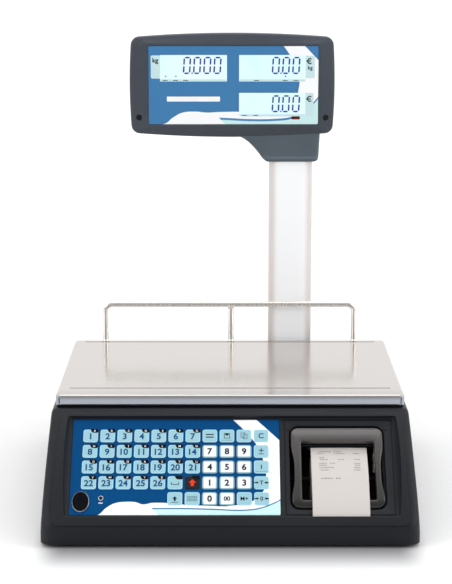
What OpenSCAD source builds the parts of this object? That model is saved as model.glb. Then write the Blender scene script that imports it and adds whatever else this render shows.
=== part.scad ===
// Label printing scale: base with sloped keypad and printer, platter with a wire rail, and a display head
// on a column. Millimetres. X to the right, Y away from the user, Z up. The origin is on the table,
// under the middle of the base.

/* [Base] */
// Width of the base at its foot
base_w = 378; // [374:1:384]
// Depth of the base, front to back
base_d = 400; // [398:1:404]
// Height of the deck under the platter
deck_h = 118; // [117.5:0.1:118.2]
// Height of the lower tray's bottom edge above the table
foot_h = 3.5; // [3:0.1:4]
// Wall thickness of the mouldings
wall = 3; // [2.5:0.1:3.4]

/* [Sloped panel] */
// Slope of the keypad panel, in degrees
slope = 46; // [46:1:46]
// How far the casing bulges above the straight panel plane
bulge = 5; // [3:0.5:6]
// Depth of the printed overlay's pocket
overlay_t = 1; // [0.8:0.1:1.2]

/* [Keys] */
// Distance from one key column to the next
key_pitch_x = 17.37; // [17:0.05:17.6]
// Distance from one key row to the next
key_pitch_s = 17.6; // [17:0.05:17.8]
// Width of a key
key_w = 15; // [14:0.5:15.5]
// Length of a key down the slope
key_h = 14.4;
key_r = 2.5;
// Height of a key above the overlay
key_proud = 0.6; // [0.3:0.1:0.8]

/* [Platter] */
// Width of the platter
platter_w = 360; // [350:1:364]
// Depth of the platter
platter_d = 245; // [240:1:248]
// Height of the platter's weighing surface
platter_h = 131; // [130:0.5:132]
// Thickness of the platter's sheet
platter_t = 1.5; // [1:0.1:2]
// Height of the wire rail above the platter
rail_h = 44; // [40:1:60]
// Diameter of the rail's wire
rail_wire = 6.2; // [5.5:0.1:6.4]

/* [Column and head] */
// Place of the column across the base
column_x = 70.3; // [66:1:72]
// Width of the column
column_w = 50; // [50:1:50]
// Depth of the column
column_d = 30; // [30:1:30]
// Width of the display head
head_w = 234; // [232:1:234]
// Height of the display head's middle above the table
head_z = 426.6; // [426:0.1:428]
// Depth of the display head's front shell
head_front_d = 16; // [15:1:17]

/* [Printer] */
// Width of the paper
paper_w = 57; // [56:1:58]
// Outer radius of the paper roll
roll_r = 22; // [18:0.5:22]
// Radius of the platen roller
platen_r = 4.5; // [4:0.1:4.5]
// Module of the printer's gears
gear_module = 0.8; // [0.8:0.1:0.8]

/* [Hidden] */
$fn = 48;
fine = 0.05;              // clearance of a running shaft in its bore
round_steps = 6;          // points in a quarter round of an outline
split_z = foot_h + 9.5;     // where the tray meets the top casing
slope_y = -108;           // upper end of the panel plane
slope_z = deck_h - 3;
skirt_z = 21;             // upper end of the casing's upright skirt
pocket_x = [-160.6, 50.2];
pocket_s = [10, 117];
recess_x = [-162.5, 166.5];
recess_s = [8, 119.5];
key_x0 = -149.7;
key_s0 = 21.5;
key_travel = 0.4;
lid_x = [61.8, 155];
lid_s = [18.7, 109.3];
lid_gap = 1.5;
window_x = [72.1, 146.2];
window_s = [36, 101];
hinge = [22, -0.8];       // down the slope, over the panel
pin_r = 1;
barrel_r = 1.9;
scoop_r = 90;             // radius of the finger scoops in the lid's sides
roll_at = [62, -31];
cable_r = 2.5;
platen_at = [34, -13];
gear_x = 147;
gear_w = 4;
platen_teeth = 20;
idler_teeth = 24;
pinion_teeth = 14;
idler_turn = -47;         // direction from the platen to the idler, in degrees
motor_turn = 228.9;       // direction from the idler to the motor
idler_at = platen_at + gear_module * (platen_teeth + idler_teeth) / 2 * [cos(idler_turn), sin(idler_turn)];
motor_at = idler_at + gear_module * (idler_teeth + pinion_teeth) / 2 * [cos(motor_turn), sin(motor_turn)];
bay_floor = 14;           // height of the printer bay's floor over the table
bay_x = [58.5, 156.5];
bay_s = [17.3, 110.7];
paper_mid = 110.5;
strip_s = [39, 119];       // ends of the printed strip down the slope
platter_y = [-104, -104 + platter_d];
platter_mid = (platter_y[0] + platter_y[1]) / 2;
skirt_low = 119;
platter_r = 5;            // corner radius, where the skirts stop
rail_mid = 1.5;           // middle post
rail_y = 136;
rail_x = 144;
rail_bend = 8;
post_x = 47;              // load cell's post to the spider
spider_z = 120.5;
spider_t = 3.5;
column_y = 165;
head_x = 2.3;
head_y = 140;
head_back_y = 187;
head_half_h = 54.9;
window_half = [96.2, 44.2];
window_ledge = 4;         // ledge that the window sheet rests on
window_mid = [4.2, 427.2];
head_screw_x = [-103, 109];
head_screw_z = 390.5;
power_at = [-149.4, -102.6];  // power button's centre in the panel's frame
power_r = [7.6, 10.2];
power_hole_r = [8.6, 11.2];
led_at = [-129.3, -98.5];
led_r = 2;
level_at = [-165, 165];
level_r = 7.8;
inlet_x = [-142, -114];
inlet_z = [32, 54];
base_screw_x = [-120, 120];
base_screw_y = [-60, 60];
boss_r = 7;               // bosses that take the feet's studs
stud_r = 4;
foot_at = [[-164, -165], [164, -165], [-164, 165], [164, 165]];
FEET = ["foot_front_left", "foot_front_right", "foot_rear_left", "foot_rear_right"];
NUMBER_KEYS = [["key_0", 7, 4], ["key_1", 7, 3], ["key_2", 8, 3], ["key_3", 9, 3], ["key_4", 7, 2],
    ["key_5", 8, 2], ["key_6", 9, 2], ["key_7", 7, 1], ["key_8", 8, 1], ["key_9", 9, 1], ["key_00", 8, 4]];

// ---------- outlines ----------

// Points of an arc about c, from angle a0 to a1.
function arc(c, r, a0, a1, n) = [for (i = [0:n]) let (a = a0 + (a1 - a0) * i / n) c + r * [cos(a), sin(a)]];

// Points between p and q, bowed outwards by sag at the middle (outwards is to the right of p to q).
function bow(p, q, sag, n) = let (d = q - p, out = [d[1], -d[0]] / norm(d))
    [for (i = [1:n - 1]) let (t = i / n) p + d * t + out * sag * 4 * t * (1 - t)];

// A rectangle with rounded corners, whose top and bottom bow by bow_v and whose sides bow by bow_h.
function soft_rect(x, y, r, bow_h = 0, bow_v = 0) = let (n = round_steps, m = 10,
    tr = [x[1] - r, y[1] - r], tl = [x[0] + r, y[1] - r], bl = [x[0] + r, y[0] + r], br = [x[1] - r, y[0] + r])
    concat(
        arc(tr, r, 0, 90, n), bow_v > 0 ? bow(tr + [0, r], tl + [0, r], bow_v, m) : [],
        arc(tl, r, 90, 180, n), bow_h > 0 ? bow(tl - [r, 0], bl - [r, 0], bow_h, m) : [],
        arc(bl, r, 180, 270, n), bow_v > 0 ? bow(bl - [0, r], br - [0, r], bow_v, m) : [],
        arc(br, r, 270, 360, n), bow_h > 0 ? bow(br + [r, 0], tr + [r, 0], bow_h, m) : []);

// An ellipse as a polygon.
function oval(c, rx, ry, n = 40) = [for (i = [0:n - 1]) c + [rx * cos(360 * i / n), ry * sin(360 * i / n)]];

// One flank of an involute gear tooth: points from the root to the tip, as [radius, angle in degrees].
function flank(z, m, play) = let (pressure = 25, r = m * z / 2, rb = r * cos(pressure), tip = r + 0.8 * m,
    root = r - 1.1 * m, inv0 = tan(pressure) * 180 / PI - pressure, half = 90 / z - play / r * 90 / PI,
    from = max(rb, root + 0.1))
    concat([[root, half + inv0 + 1.2]], [for (i = [0:4]) let (q = from + (tip - from) * i / 4,
        a = acos(min(1, rb / q))) [q, half + inv0 - (tan(a) * 180 / PI - a)]]);

// Outline of a gear with z teeth, with one tooth pointing at the angle turn.
function gear_outline(z, m, turn, play = 0.12) = let (f = flank(z, m, play), n = len(f) - 1)
    [for (k = [0:z - 1]) let (a = turn + k * 360 / z)
        each concat([for (i = [0:n]) f[i][0] * [cos(a - f[i][1]), sin(a - f[i][1])]],
            [for (i = [0:n]) f[n - i][0] * [cos(a + f[n - i][1]), sin(a + f[n - i][1])]])];

// ---------- placing ----------

// Into the sloped panel's frame: X across, -Y down the slope, Z out of the panel.
module on_panel() translate([0, slope_y, slope_z]) rotate([slope, 0, 0]) children();

// A flat rounded plate in the panel's frame.
module panel_plate(x, s, r, z0, z1) translate([0, 0, z0])
    linear_extrude(z1 - z0) polygon(soft_rect(x, [-s[1], -s[0]], r));

// A profile of points [distance down the slope, height over the panel], carried along X.
module panel_profile(points, x0, x1) translate([x0, 0, 0]) rotate([90, 0, 90])
    linear_extrude(x1 - x0) polygon([for (p = points) [-p[0], p[1]]]);

// A round bar along X in the panel's frame.
module panel_bar(at, r, x0, x1) translate([x0, -at[0], at[1]]) rotate([0, 90, 0]) cylinder(r = r, h = x1 - x0);

// A side profile of points [Y, Z], carried along X.
module side_profile(points, x0, x1) translate([x0, 0, 0]) rotate([90, 0, 90])
    linear_extrude(x1 - x0) polygon(points);

// A front outline of points [X, Z], carried along Y.
module front_outline(points, y0, y1) translate([0, y1, 0]) rotate([90, 0, 0])
    linear_extrude(y1 - y0) polygon(points);

module box(x, y, z) translate([x[0], y[0], z[0]]) cube([x[1] - x[0], y[1] - y[0], z[1] - z[0]]);
module screw_at(x, y, z, head_r, r, length) translate([x, y, z]) {
    cylinder(r = head_r, h = 2);
    cylinder(r = r, h = length);
}

// ---------- base ----------

function slope_line(extra) = let (low = [-base_d / 2 + 0.6, skirt_z], high = [-107.6, deck_h])
    concat([low + [-extra, -extra * 0.4]],
        [for (i = [1:11]) let (t = i / 12, d = high - low, out = [-d[1], d[0]] / norm(d))
            low + d * t + out * (extra + bulge * 4 * t * (1 - t))],
        [high]);

module plan_limit(grow = 0) translate([0, 0, -1]) linear_extrude(200)
    polygon(soft_rect([-base_w / 2 - grow, base_w / 2 + grow],
        [-base_d / 2 - grow, base_d / 2 + grow], 12 + grow));

module casing_outside() intersection() {
    side_profile(concat([[-base_d / 2, split_z]], slope_line(0),
        arc([base_d / 2 - 12, deck_h - 12], 12, 90, 0, 6), [[base_d / 2, split_z]]), -base_w / 2, base_w / 2);
    front_outline(concat([[base_w / 2, split_z]], arc([base_w / 2 - 11, deck_h - 6], 6, 4, 90, 5),
        arc([-base_w / 2 + 11, deck_h - 6], 6, 90, 176, 5), [[-base_w / 2, split_z]]),
        -base_d / 2 - 1, base_d / 2 + 1);
    plan_limit();
}

module plateau() intersection() {
    side_profile(concat(slope_line(1), [[-100, deck_h - 6], [-190, skirt_z]]), -base_w / 2, base_w / 2);
    on_panel() translate([0, 0, -4]) linear_extrude(20)
        polygon(concat(arc([168, -8], 6, 90, 2, 5), arc([172, -123.5], 6, -2, -90, 5),
            arc([-172, -123.5], 6, 270, 182, 5), arc([-168, -8], 6, 178, 90, 5)));
}

module casing_inside() intersection() {
    side_profile([[-base_d / 2 + wall + 2, split_z - 1], [-base_d / 2 + wall + 2, skirt_z - 4],
        [-103.6, deck_h - 5.4], [-101, deck_h - wall], [base_d / 2 - 6, deck_h - wall],
        [base_d / 2 - wall, deck_h - 8], [base_d / 2 - wall, split_z - 1]], -base_w, base_w);
    front_outline([[base_w / 2 - wall, split_z - 1], [base_w / 2 - wall - 4.6, deck_h - 6],
        [base_w / 2 - wall - 9, deck_h], [-base_w / 2 + wall + 9, deck_h],
        [-base_w / 2 + wall + 4.6, deck_h - 6], [-base_w / 2 + wall, split_z - 1]], -base_d, base_d);
}

module top_housing() color("#2B2D33") difference() {
    union() {
        casing_outside();
        plateau();
    }
    casing_inside();
    on_panel() {
        // recess with slanted ends, over the keypad and the printer
        translate([0, -recess_s[0], 0]) rotate([90, 0, 0]) linear_extrude(recess_s[1] - recess_s[0])
            polygon([[recess_x[0], 0], [recess_x[1], 0], [recess_x[1] + 6, 8], [recess_x[0] - 6, 8]]);
        panel_plate(pocket_x, pocket_s, 1, -overlay_t - 1.6, 1);
        panel_plate([lid_x[0] - lid_gap, lid_x[1] + lid_gap], [lid_s[0] - lid_gap, lid_s[1] + lid_gap],
            9.5, -20, 2);
        // engraved frame round the printer
        difference() {
            panel_plate([54.9, 165.4], recess_s + [2, -2], 1, -0.8, 1);
            panel_plate([56.1, 164.2], recess_s + [3.2, -3.2], 1, -2, 2);
        }
        panel_bar(hinge, pin_r + fine, lid_x[0] - 5, lid_x[1] + 5);
        translate([0, 0, -20]) linear_extrude(30) polygon(oval(power_at, power_hole_r[0], power_hole_r[1]));
        translate([led_at[0], led_at[1], -20]) cylinder(r = led_r + 0.1, h = 30);
    }
    translate([post_x, platter_mid, deck_h - 10]) cylinder(r = 16, h = 20);
    translate([0, 0, deck_h - 10]) linear_extrude(20)
        polygon(soft_rect([column_x - column_w / 2 - 0.2, column_x + column_w / 2 + 0.2],
            [column_y - column_d / 2 - 0.2, column_y + column_d / 2 + 0.2], 12.2));
    box(inlet_x, [base_d / 2 - 10, base_d / 2 + 5], inlet_z);
    translate([level_at[0], level_at[1], deck_h - 6]) cylinder(r = level_r + 0.2, h = 10);
}

module lower_tray() color("#26282D") difference() {
    union() {
        difference() {
            translate([0, 0, foot_h]) linear_extrude(split_z - foot_h)
                polygon(soft_rect([-base_w / 2, base_w / 2], [-base_d / 2, base_d / 2], 12));
            translate([0, 0, foot_h + wall]) linear_extrude(20)
                polygon(soft_rect([-base_w / 2 + wall, base_w / 2 - wall],
                    [-base_d / 2 + wall, base_d / 2 - wall], 9));
        }
        for (p = foot_at) translate([p[0], p[1], foot_h]) cylinder(r = boss_r, h = 16);
    }
    for (p = foot_at) translate([p[0], p[1], 0]) cylinder(r = stud_r + fine, h = 40);
    box([-87, 17], [73, 157], [0, 40]);
    for (x = base_screw_x, y = base_screw_y) translate([x, y, 0]) {
        cylinder(r = 1.8, h = 40);
        cylinder(r = 4, h = foot_h + 1.5);
    }
}

module foot(i) color("#1B1B1D") translate([foot_at[i][0], foot_at[i][1], 0]) {
    rotate_extrude() polygon([[0, 0], [14, 0], [15, 0.8], [15, foot_h - 1.4],
        [12.5, foot_h - 0.4], [0, foot_h - 0.4]]);
    cylinder(r = stud_r, h = 25);
}

module base_screws() color("silver") for (x = base_screw_x, y = base_screw_y)
    screw_at(x, y, foot_h - 0.5, 3.4, 1.6, 14);

module battery_cover() color("#26282D") difference() {
    box([-86.6, 16.6], [73.4, 156.6], [foot_h, foot_h + 2]);
    for (x = [-38, -35, -32]) box([x - 0.7, x + 0.7], [80, 100], [foot_h - 1, foot_h + 0.8]);
}

// ---------- keypad ----------

// The place of a key, larger by gap all round.
module key_shape(column, row, z0, z1, gap = 0)
    let (x = key_x0 + column * key_pitch_x, s = key_s0 + row * key_pitch_s)
    panel_plate([x - gap, x + key_w + gap], [s - gap, s + key_h + gap], key_r + gap, z0, z1);

function is_number(column, row) = len([for (k = NUMBER_KEYS) if (k[1] == column && k[2] == row) 1]) > 0;

module keypad_overlay() color("#00508F") on_panel() difference() {
    panel_plate(pocket_x + [0.2, -0.2], pocket_s + [0.2, -0.2], 1, -overlay_t, 0);
    for (k = NUMBER_KEYS) key_shape(k[1], k[2], -5, 5, 0.3);
    translate([0, 0, -5]) linear_extrude(10) polygon(oval(power_at, power_hole_r[0], power_hole_r[1]));
    translate([led_at[0], led_at[1], -5]) cylinder(r = led_r + 0.1, h = 10);
}

module keypad_backplate() color("#9A9DA0") on_panel() difference() {
    panel_plate(pocket_x + [0.2, -0.2], pocket_s + [0.2, -0.2], 1, -overlay_t - 1.6, -overlay_t);
    translate([0, 0, -5]) linear_extrude(10) polygon(oval(power_at, power_hole_r[0], power_hole_r[1]));
    translate([led_at[0], led_at[1], -5]) cylinder(r = led_r + 0.1, h = 10);
}

module function_keys() color("#B4DCE3") on_panel() for (row = [0:4], column = [0:10])
    if (!is_number(column, row) && (row < 4 || column > 4)) key_shape(column, row, 0, key_proud);

module number_key(column, row) color("#F2F6F7") on_panel()
    key_shape(column, row, -overlay_t + key_travel + 0.1, key_proud);

module power_button() color("#0B0F1C") on_panel() translate([0, 0, -9]) {
    linear_extrude(10.5) polygon(oval(power_at, power_r[0], power_r[1]));
    linear_extrude(1.5) polygon(oval(power_at, power_r[0] + 0.6, power_r[1] + 0.6));
}

module power_button_ring() color("#B9BCC0") on_panel() difference() {
    linear_extrude(1.4) polygon(oval(power_at, power_r[0] + 1.5, power_r[1] + 1.6));
    translate([0, 0, -1]) linear_extrude(4) polygon(oval(power_at, power_r[0] + 0.4, power_r[1] + 0.4));
}

module power_led_lens() color("#3A1010") on_panel() translate([led_at[0], led_at[1], -3])
    cylinder(r = led_r, h = 3.8);

// ---------- printer ----------

module printer_lid() color("#56524F") on_panel() difference() {
    union() {
        intersection() {
            panel_plate(lid_x, lid_s, 8, -3, 3);
            panel_profile([[lid_s[0], -3], [lid_s[0], 0], [27, 3], [103, 3], [lid_s[1], 0.4], [lid_s[1], -3]],
                lid_x[0], lid_x[1]);
        }
        panel_bar(hinge, barrel_r, lid_x[0] + 4, lid_x[1] - 4);
    }
    panel_plate(window_x, window_s, 1.5, -8, 8);
    panel_bar(hinge, pin_r + fine, 0, 200);
    for (side = [-1, 1]) translate([(lid_x[0] + lid_x[1]) / 2 + side * (scoop_r + 43.5), -70, -5])
        cylinder(r = scoop_r, h = 20, $fn = 96);
}

module lid_hinge_pin() color("silver") on_panel() panel_bar(hinge, pin_r, lid_x[0] - 4.5, lid_x[1] + 4.5);

module printer_bay() color("#16171A") {
    bay_tub();
    on_panel() panel_bar(idler_at, 1.5, gear_x - 1, bay_x[1]);
}

module bay_tub() difference() {
    intersection() {
        on_panel() panel_plate(bay_x, bay_s, 8, -60, -6);
        box([0, 200], [-200, 0], [bay_floor - 2, 120]);
    }
    intersection() {
        on_panel() panel_plate(bay_x + [2, -2], bay_s + [2, -2], 7, -58, 0);
        box([0, 200], [-200, 0], [bay_floor, 120]);
    }
    on_panel() {
        panel_bar(roll_at, 3 + fine, bay_x[0] - 1, bay_x[1] + 1);
        panel_bar(platen_at, 2 + fine, bay_x[0] - 1, bay_x[1] + 1);
        panel_bar(motor_at, 3, bay_x[1] - 3, bay_x[1] + 1);
    }
}

module thermal_head() color("#303236") on_panel() {
    panel_profile([[20.4, -20], [29, -20], [29, -9], [27, -7], [20.4, -7]], 78, 140);
    panel_profile([[19.6, -22], [20.4, -22], [20.4, -8], [19.6, -8]], bay_x[0] + 10, 138);
}

module tear_bar() color("#B8BBBE") on_panel() difference() {
    panel_profile([[35.6, -8.2], [37.6, -8.2], [37.6, -5], [36.6, -4.4], [35.6, -5]], bay_x[0] + 2, 145);
    for (x = [80:2:138]) translate([x, -36.6, -4]) rotate([0, 45, 0]) cube([0.9, 6, 0.9], center = true);
}

module platen_roller() color("#202124") on_panel() {
    panel_bar(platen_at, platen_r, 79, 140);
    panel_bar(platen_at, 2, bay_x[0] + 0.2, bay_x[1] - 0.2);
}

module gear(at, z, turn, bore) translate([gear_x, -at[0], at[1]]) rotate([90, 0, 90]) difference() {
    linear_extrude(gear_w) polygon(gear_outline(z, gear_module, turn));
    translate([0, 0, -1]) cylinder(r = bore, h = gear_w + 2);
}

// The gears' angles are measured in the frame seen from +X, where down the slope is to the left.
platen_turn = 180 - idler_turn;
idler_tooth = 180 / idler_teeth;
module platen_gear() color("#D8D5C8") on_panel() gear(platen_at, platen_teeth, platen_turn, 2);

module idler_gear() color("#D8D5C8") on_panel()
    gear(idler_at, idler_teeth, -idler_turn + idler_tooth, 1.5 + fine);

pinion_mesh = 180 - motor_turn + (idler_teeth / pinion_teeth)
    * ((180 - motor_turn) - (-idler_turn + idler_tooth)) + 180 + 180 / pinion_teeth;
module motor_pinion() color("#C9B26A") on_panel() {
    gear(motor_at, pinion_teeth, pinion_mesh, 1.5);
    panel_bar(motor_at, 1.5, gear_x, 166);
}

module stepper_motor() color("#A7A9AC") on_panel() {
    difference() {
        union() {
            panel_bar(motor_at, 9, bay_x[1] + 0.3, bay_x[1] + 15);
            translate([bay_x[1] + 0.3, -motor_at[0] - 14, motor_at[1] - 4]) cube([1, 28, 8]);
        }
        panel_bar(motor_at, 1.5 + fine, bay_x[1], 166.5);
    }
}

module paper_roll() color("#EFEDE8") on_panel() difference() {
    panel_bar(roll_at, roll_r, paper_mid - paper_w / 2, paper_mid + paper_w / 2);
    panel_bar(roll_at, 6.2, 0, 200);
}

module roll_spindle() color("#2A2C30") on_panel() {
    panel_bar(roll_at, 6.2, paper_mid - paper_w / 2 - 2, paper_mid + paper_w / 2 + 2);
    panel_bar(roll_at, 3, bay_x[0] + 0.2, bay_x[1] - 0.2);
}

function strip_line() = [for (i = [0:14]) let (t = i / 14, s = strip_s[0] + (strip_s[1] - strip_s[0]) * t)
    [s, -6.5 + 10.6 * sin(min(90, t * 150)) - 3.3 * pow(max(0, t - 0.74) / 0.26, 2)]];

module paper_strip() color("#EDEBE8") on_panel() let (line = strip_line(), n = len(line) - 1)
    panel_profile(concat(line, [for (i = [0:n]) line[n - i] + [0.1, 0.25]]),
        paper_mid - paper_w / 2, paper_mid + paper_w / 2);

// ---------- weighing gear ----------

module load_cell() color("#C3C6C9") difference() {
    box([-65, 65], [platter_mid - 15, platter_mid + 15], [40, 62]);
    for (x = [-13, 13]) translate([x, platter_mid - 20, 51]) rotate([-90, 0, 0]) cylinder(r = 8, h = 40);
    box([-13, 13], [platter_mid - 20, platter_mid + 20], [48, 54]);
}

module load_cell_mounts() color("#5A5D60") {
    box([-65, -30], [platter_mid - 20, platter_mid + 20], [foot_h + wall, 40]);
}

module platter_spider() color("#8C9094") {
    box([30, 65], [platter_mid - 15, platter_mid + 15], [62, 68]);
    translate([post_x, platter_mid, 66]) cylinder(r = 10, h = spider_z - 65);
    translate([0, platter_mid, spider_z]) linear_extrude(spider_t) {
        for (side = [-1, 1]) rotate(side * 32) translate([-166, -13]) square([332, 26]);
        translate([-40, -40]) square([110, 80]);
    }
}

module spider_pads() color("#1D1D1F") for (side = [-1, 1], end = [-1, 1])
    translate([0, platter_mid, 0]) rotate([0, 0, side * 32]) translate([end * 154, 0, spider_z + spider_t])
        cylinder(r = 10, h = platter_h - platter_t - spider_z - spider_t);

module platter() color("#D9D7D4") difference() {
    union() {
        translate([0, 0, platter_h - platter_t]) linear_extrude(platter_t)
            polygon(soft_rect([-platter_w / 2, platter_w / 2], platter_y, platter_r));
        for (side = [-1, 1])
            box([side > 0 ? platter_w / 2 - platter_t : -platter_w / 2, side > 0 ? platter_w / 2
                : -platter_w / 2 + platter_t], platter_y + [platter_r, -platter_r], [skirt_low, platter_h - 1]);
        for (y = [platter_y[0], platter_y[1] - platter_t])
            box([-platter_w / 2 + platter_r, platter_w / 2 - platter_r], [y, y + platter_t],
                [skirt_low, platter_h - 1]);
    }
    for (y = [-75.5, 131]) box([-168, 168], [y - 1, y + 1], [platter_h - 0.5, platter_h + 1]);
}

module rail() color("#8F8B86") translate([0, rail_y, 0]) {
    for (side = [-1, 1]) mirror([side < 0 ? 1 : 0, 0, 0]) {
        translate([rail_x, 0, platter_h]) cylinder(r = rail_wire / 2, h = rail_h - rail_bend);
        translate([rail_x - rail_bend, 0, platter_h + rail_h - rail_bend]) rotate([90, 0, 0])
            rotate_extrude(angle = 90) translate([rail_bend, 0]) circle(r = rail_wire / 2);
        translate([0, 0, platter_h + rail_h]) rotate([0, 90, 0])
            cylinder(r = rail_wire / 2, h = rail_x - rail_bend);
    }
    translate([rail_mid, 0, platter_h]) cylinder(r = rail_wire / 2, h = rail_h);
    for (x = [-rail_x, rail_mid, rail_x])
        translate([x, 0, platter_h]) cylinder(r = rail_wire / 2 + 1.2, h = 1.6);
}

// ---------- column and head ----------

function column_outline(inset) = soft_rect([column_x - column_w / 2 + inset, column_x + column_w / 2 - inset],
    [column_y - column_d / 2 + inset, column_y + column_d / 2 - inset], 12 - inset);

module column_tube() color("#D5D3D2") translate([0, 0, foot_h + wall]) difference() {
    linear_extrude(360) polygon(column_outline(0));
    translate([0, 0, -1]) linear_extrude(362) polygon(column_outline(2));
    box([column_x - 8, column_x + 8], [column_y - 30, column_y], [-1, 30]);
}

module column_clamp() color("#6C6F73") difference() {
    union() {
        box([column_x - 40, column_x + 40], [column_y - 25, column_y + 25],
            [foot_h + wall, foot_h + wall + 5]);
        box([column_x - 32, column_x + 32], [column_y - 22, column_y + 22], [foot_h + wall, 60]);
    }
    translate([0, 0, 5]) linear_extrude(80) polygon(column_outline(-0.1));
    box([column_x - 8, column_x + 8], [column_y - 40, column_y], [5, 42]);
}

function head_outline(inset) = soft_rect(
    [head_x + 1 - head_w / 2 + 1.5 + inset, head_x + head_w / 2 - 1.5 - inset],
    [head_z - head_half_h + inset, head_z + head_half_h - inset], max(2, 10 - inset), 1.5, 4);

// The window's outline, smaller by inset all round.
function window_outline(inset, r = 1.5) = soft_rect(
    [window_mid[0] - window_half[0] + inset, window_mid[0] + window_half[0] - inset],
    [window_mid[1] - window_half[1] + inset, window_mid[1] + window_half[1] - inset], r);

module head_front_shell() color("#40434B") difference() {
    union() {
        front_outline(head_outline(0), head_y + 5, head_y + head_front_d);
        hull() {
            front_outline(head_outline(0), head_y + 4.9, head_y + 5);
            front_outline(window_outline(-2, 3), head_y, head_y + 0.1);
        }
    }
    front_outline(head_outline(2.5), head_y + 8, head_y + 40);
    front_outline(window_outline(0), head_y - 1, head_y + 1.6);
    front_outline(window_outline(window_ledge), head_y - 1, head_y + 10);
    for (x = head_screw_x) translate([x, head_y - 5, head_screw_z]) rotate([-90, 0, 0]) {
        cylinder(r = 3.2, h = 11);
        cylinder(r = 1.8, h = 40);
    }
}

neck_left = [for (i = [0:8]) let (t = i / 8) [5 + 33.5 * t, 369 - 28 * pow(t, 1.8)]];
module neck() front_outline(concat([[104, 378], [3, 378]], neck_left, arc([43, 343.5], 4.5, 215, 270, 3),
    arc([98, 343], 4, 270, 350, 4)), head_y + 5, head_back_y - 2);

module head_rear_shell() color("#505A62") difference() {
    union() {
        front_outline(head_outline(0.8), head_y + head_front_d, head_back_y);
        neck();
    }
    front_outline(head_outline(3.4), head_y + head_front_d - 15, head_back_y - 2.5);
    front_outline(window_outline(0), head_back_y - 1.2, head_back_y + 1);
    front_outline(window_outline(window_ledge), head_back_y - 8, head_back_y + 1);
    translate([0, 0, 330]) linear_extrude(60) polygon(column_outline(-0.1));
    front_outline(head_outline(-1), head_y, head_y + head_front_d + 0.001);
    for (x = head_screw_x) translate([x, head_y + 5, head_screw_z]) rotate([-90, 0, 0])
        cylinder(r = 1.2, h = 24);
}

module front_window() color("#3F75AB") front_outline(window_outline(0.2, 1.4), head_y + 0.5, head_y + 1.6);
module rear_window() color("#3F75AB")
    front_outline(window_outline(0.2, 1.4), head_back_y - 1.2, head_back_y - 0.1);

module lcd_panels() color("#DDF2FA") for (y = [head_y + 2.2, head_back_y - 4.2]) {
    box([-78.8, -3.1], [y, y + 2], [430, 463]);
    box([10.6, 85.8], [y, y + 2], [430, 463]);
    box([10.6, 85.8], [y, y + 2], [390, 420.5]);
}

module display_board() color("#1F5A34") for (y = [head_y + 4.4, head_back_y - 6]) {
    box([-86, 92], [y, y + 1.6], [388.5, 466]);
}

module head_screws() color("#3A3C40") for (x = head_screw_x) translate([x, head_y + 4, head_screw_z])
    rotate([-90, 0, 0]) difference() {
        union() {
            cylinder(r = 3, h = 2);
            cylinder(r = 1.2, h = 20);
        }
        for (turn = [0, 90]) rotate([0, 0, turn]) translate([-2, -0.4, -1]) cube([4, 0.8, 2.2]);
    }

// ---------- electronics ----------

module main_board() color("#1F5A34") {
    box([-170, -72], [-90, 60], [20, 21.6]);
    for (p = [[-150, -70], [-110, -40], [-150, 10]]) box([p[0], p[0] + 24], [p[1], p[1] + 24], [21.6, 25]);
    for (x = [-165, -77], y = [-85, 45])
        translate([x, y, foot_h + wall]) cylinder(r = 3, h = 20 - foot_h - wall);
    box([-78, -66], [column_y - 115, column_y - 105], [10, 21.6]);
}

module power_supply() color("#B9BCBE") box([-170, -100], [80, 150], [foot_h + wall, 44]);
module battery() color("#3B3E42") box([-84, 14], [76, 154], [foot_h + 2, 72]);

module power_inlet() color("#17181A") difference() {
    box(inlet_x + [0.3, -0.3], [base_d / 2 - 12, base_d / 2 - 2], inlet_z + [0.3, -0.3]);
    box(inlet_x + [2.5, -2.5], [base_d / 2 - 10, base_d / 2], inlet_z + [3, -3]);
    for (x = [-135, -128, -121]) box([x - 1, x + 1], [base_d / 2 - 14, base_d / 2 - 9], [41, 45]);
}

// The display's cable: along the tray from the main board, up inside the column and forward to its board.
module cable_bend() rotate_extrude(angle = 90) translate([10, 0]) circle(r = cable_r);
module pole_cable() color("#111214") {
    translate([-66, column_y - 110, 14]) rotate([0, 90, 0]) cylinder(r = cable_r, h = column_x - 10 + 66);
    translate([column_x - 10, column_y - 100, 14]) rotate([0, 0, -90]) cable_bend();
    translate([column_x, column_y - 100, 14]) rotate([-90, 0, 0]) cylinder(r = cable_r, h = 90);
    translate([column_x, column_y - 10, 24]) rotate([-90, 0, 90]) cable_bend();
    translate([column_x, column_y, 24]) cylinder(r = cable_r, h = 368);
    translate([column_x, column_y - 10, 392]) rotate([90, 0, 90]) cable_bend();
    translate([column_x, head_y + 6, 402]) rotate([-90, 0, 0])
        cylinder(r = cable_r, h = column_y - 16 - head_y);
}

module bubble_level() color("#B7D9A8") translate([level_at[0], level_at[1], deck_h - 6])
    cylinder(r = level_r, h = 6.5);

lower_tray();
top_housing();
keypad_overlay();
keypad_backplate();
function_keys();
power_button();
power_button_ring();
power_led_lens();
printer_lid();
lid_hinge_pin();
printer_bay();
thermal_head();
tear_bar();
platen_roller();
platen_gear();
idler_gear();
motor_pinion();
stepper_motor();
paper_roll();
roll_spindle();
paper_strip();
load_cell();
load_cell_mounts();
platter_spider();
spider_pads();
platter();
rail();
column_tube();
column_clamp();
head_front_shell();
head_rear_shell();
front_window();
rear_window();
lcd_panels();
display_board();
head_screws();
main_board();
power_supply();
battery();
battery_cover();
power_inlet();
pole_cable();
bubble_level();
base_screws();
for (i = [0:3]) foot(i);
for (k = NUMBER_KEYS) number_key(k[1], k[2]);
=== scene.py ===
"""Looks of a label printing scale: casing, keypad, printer, platter and display head around the CAD frame."""

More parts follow.
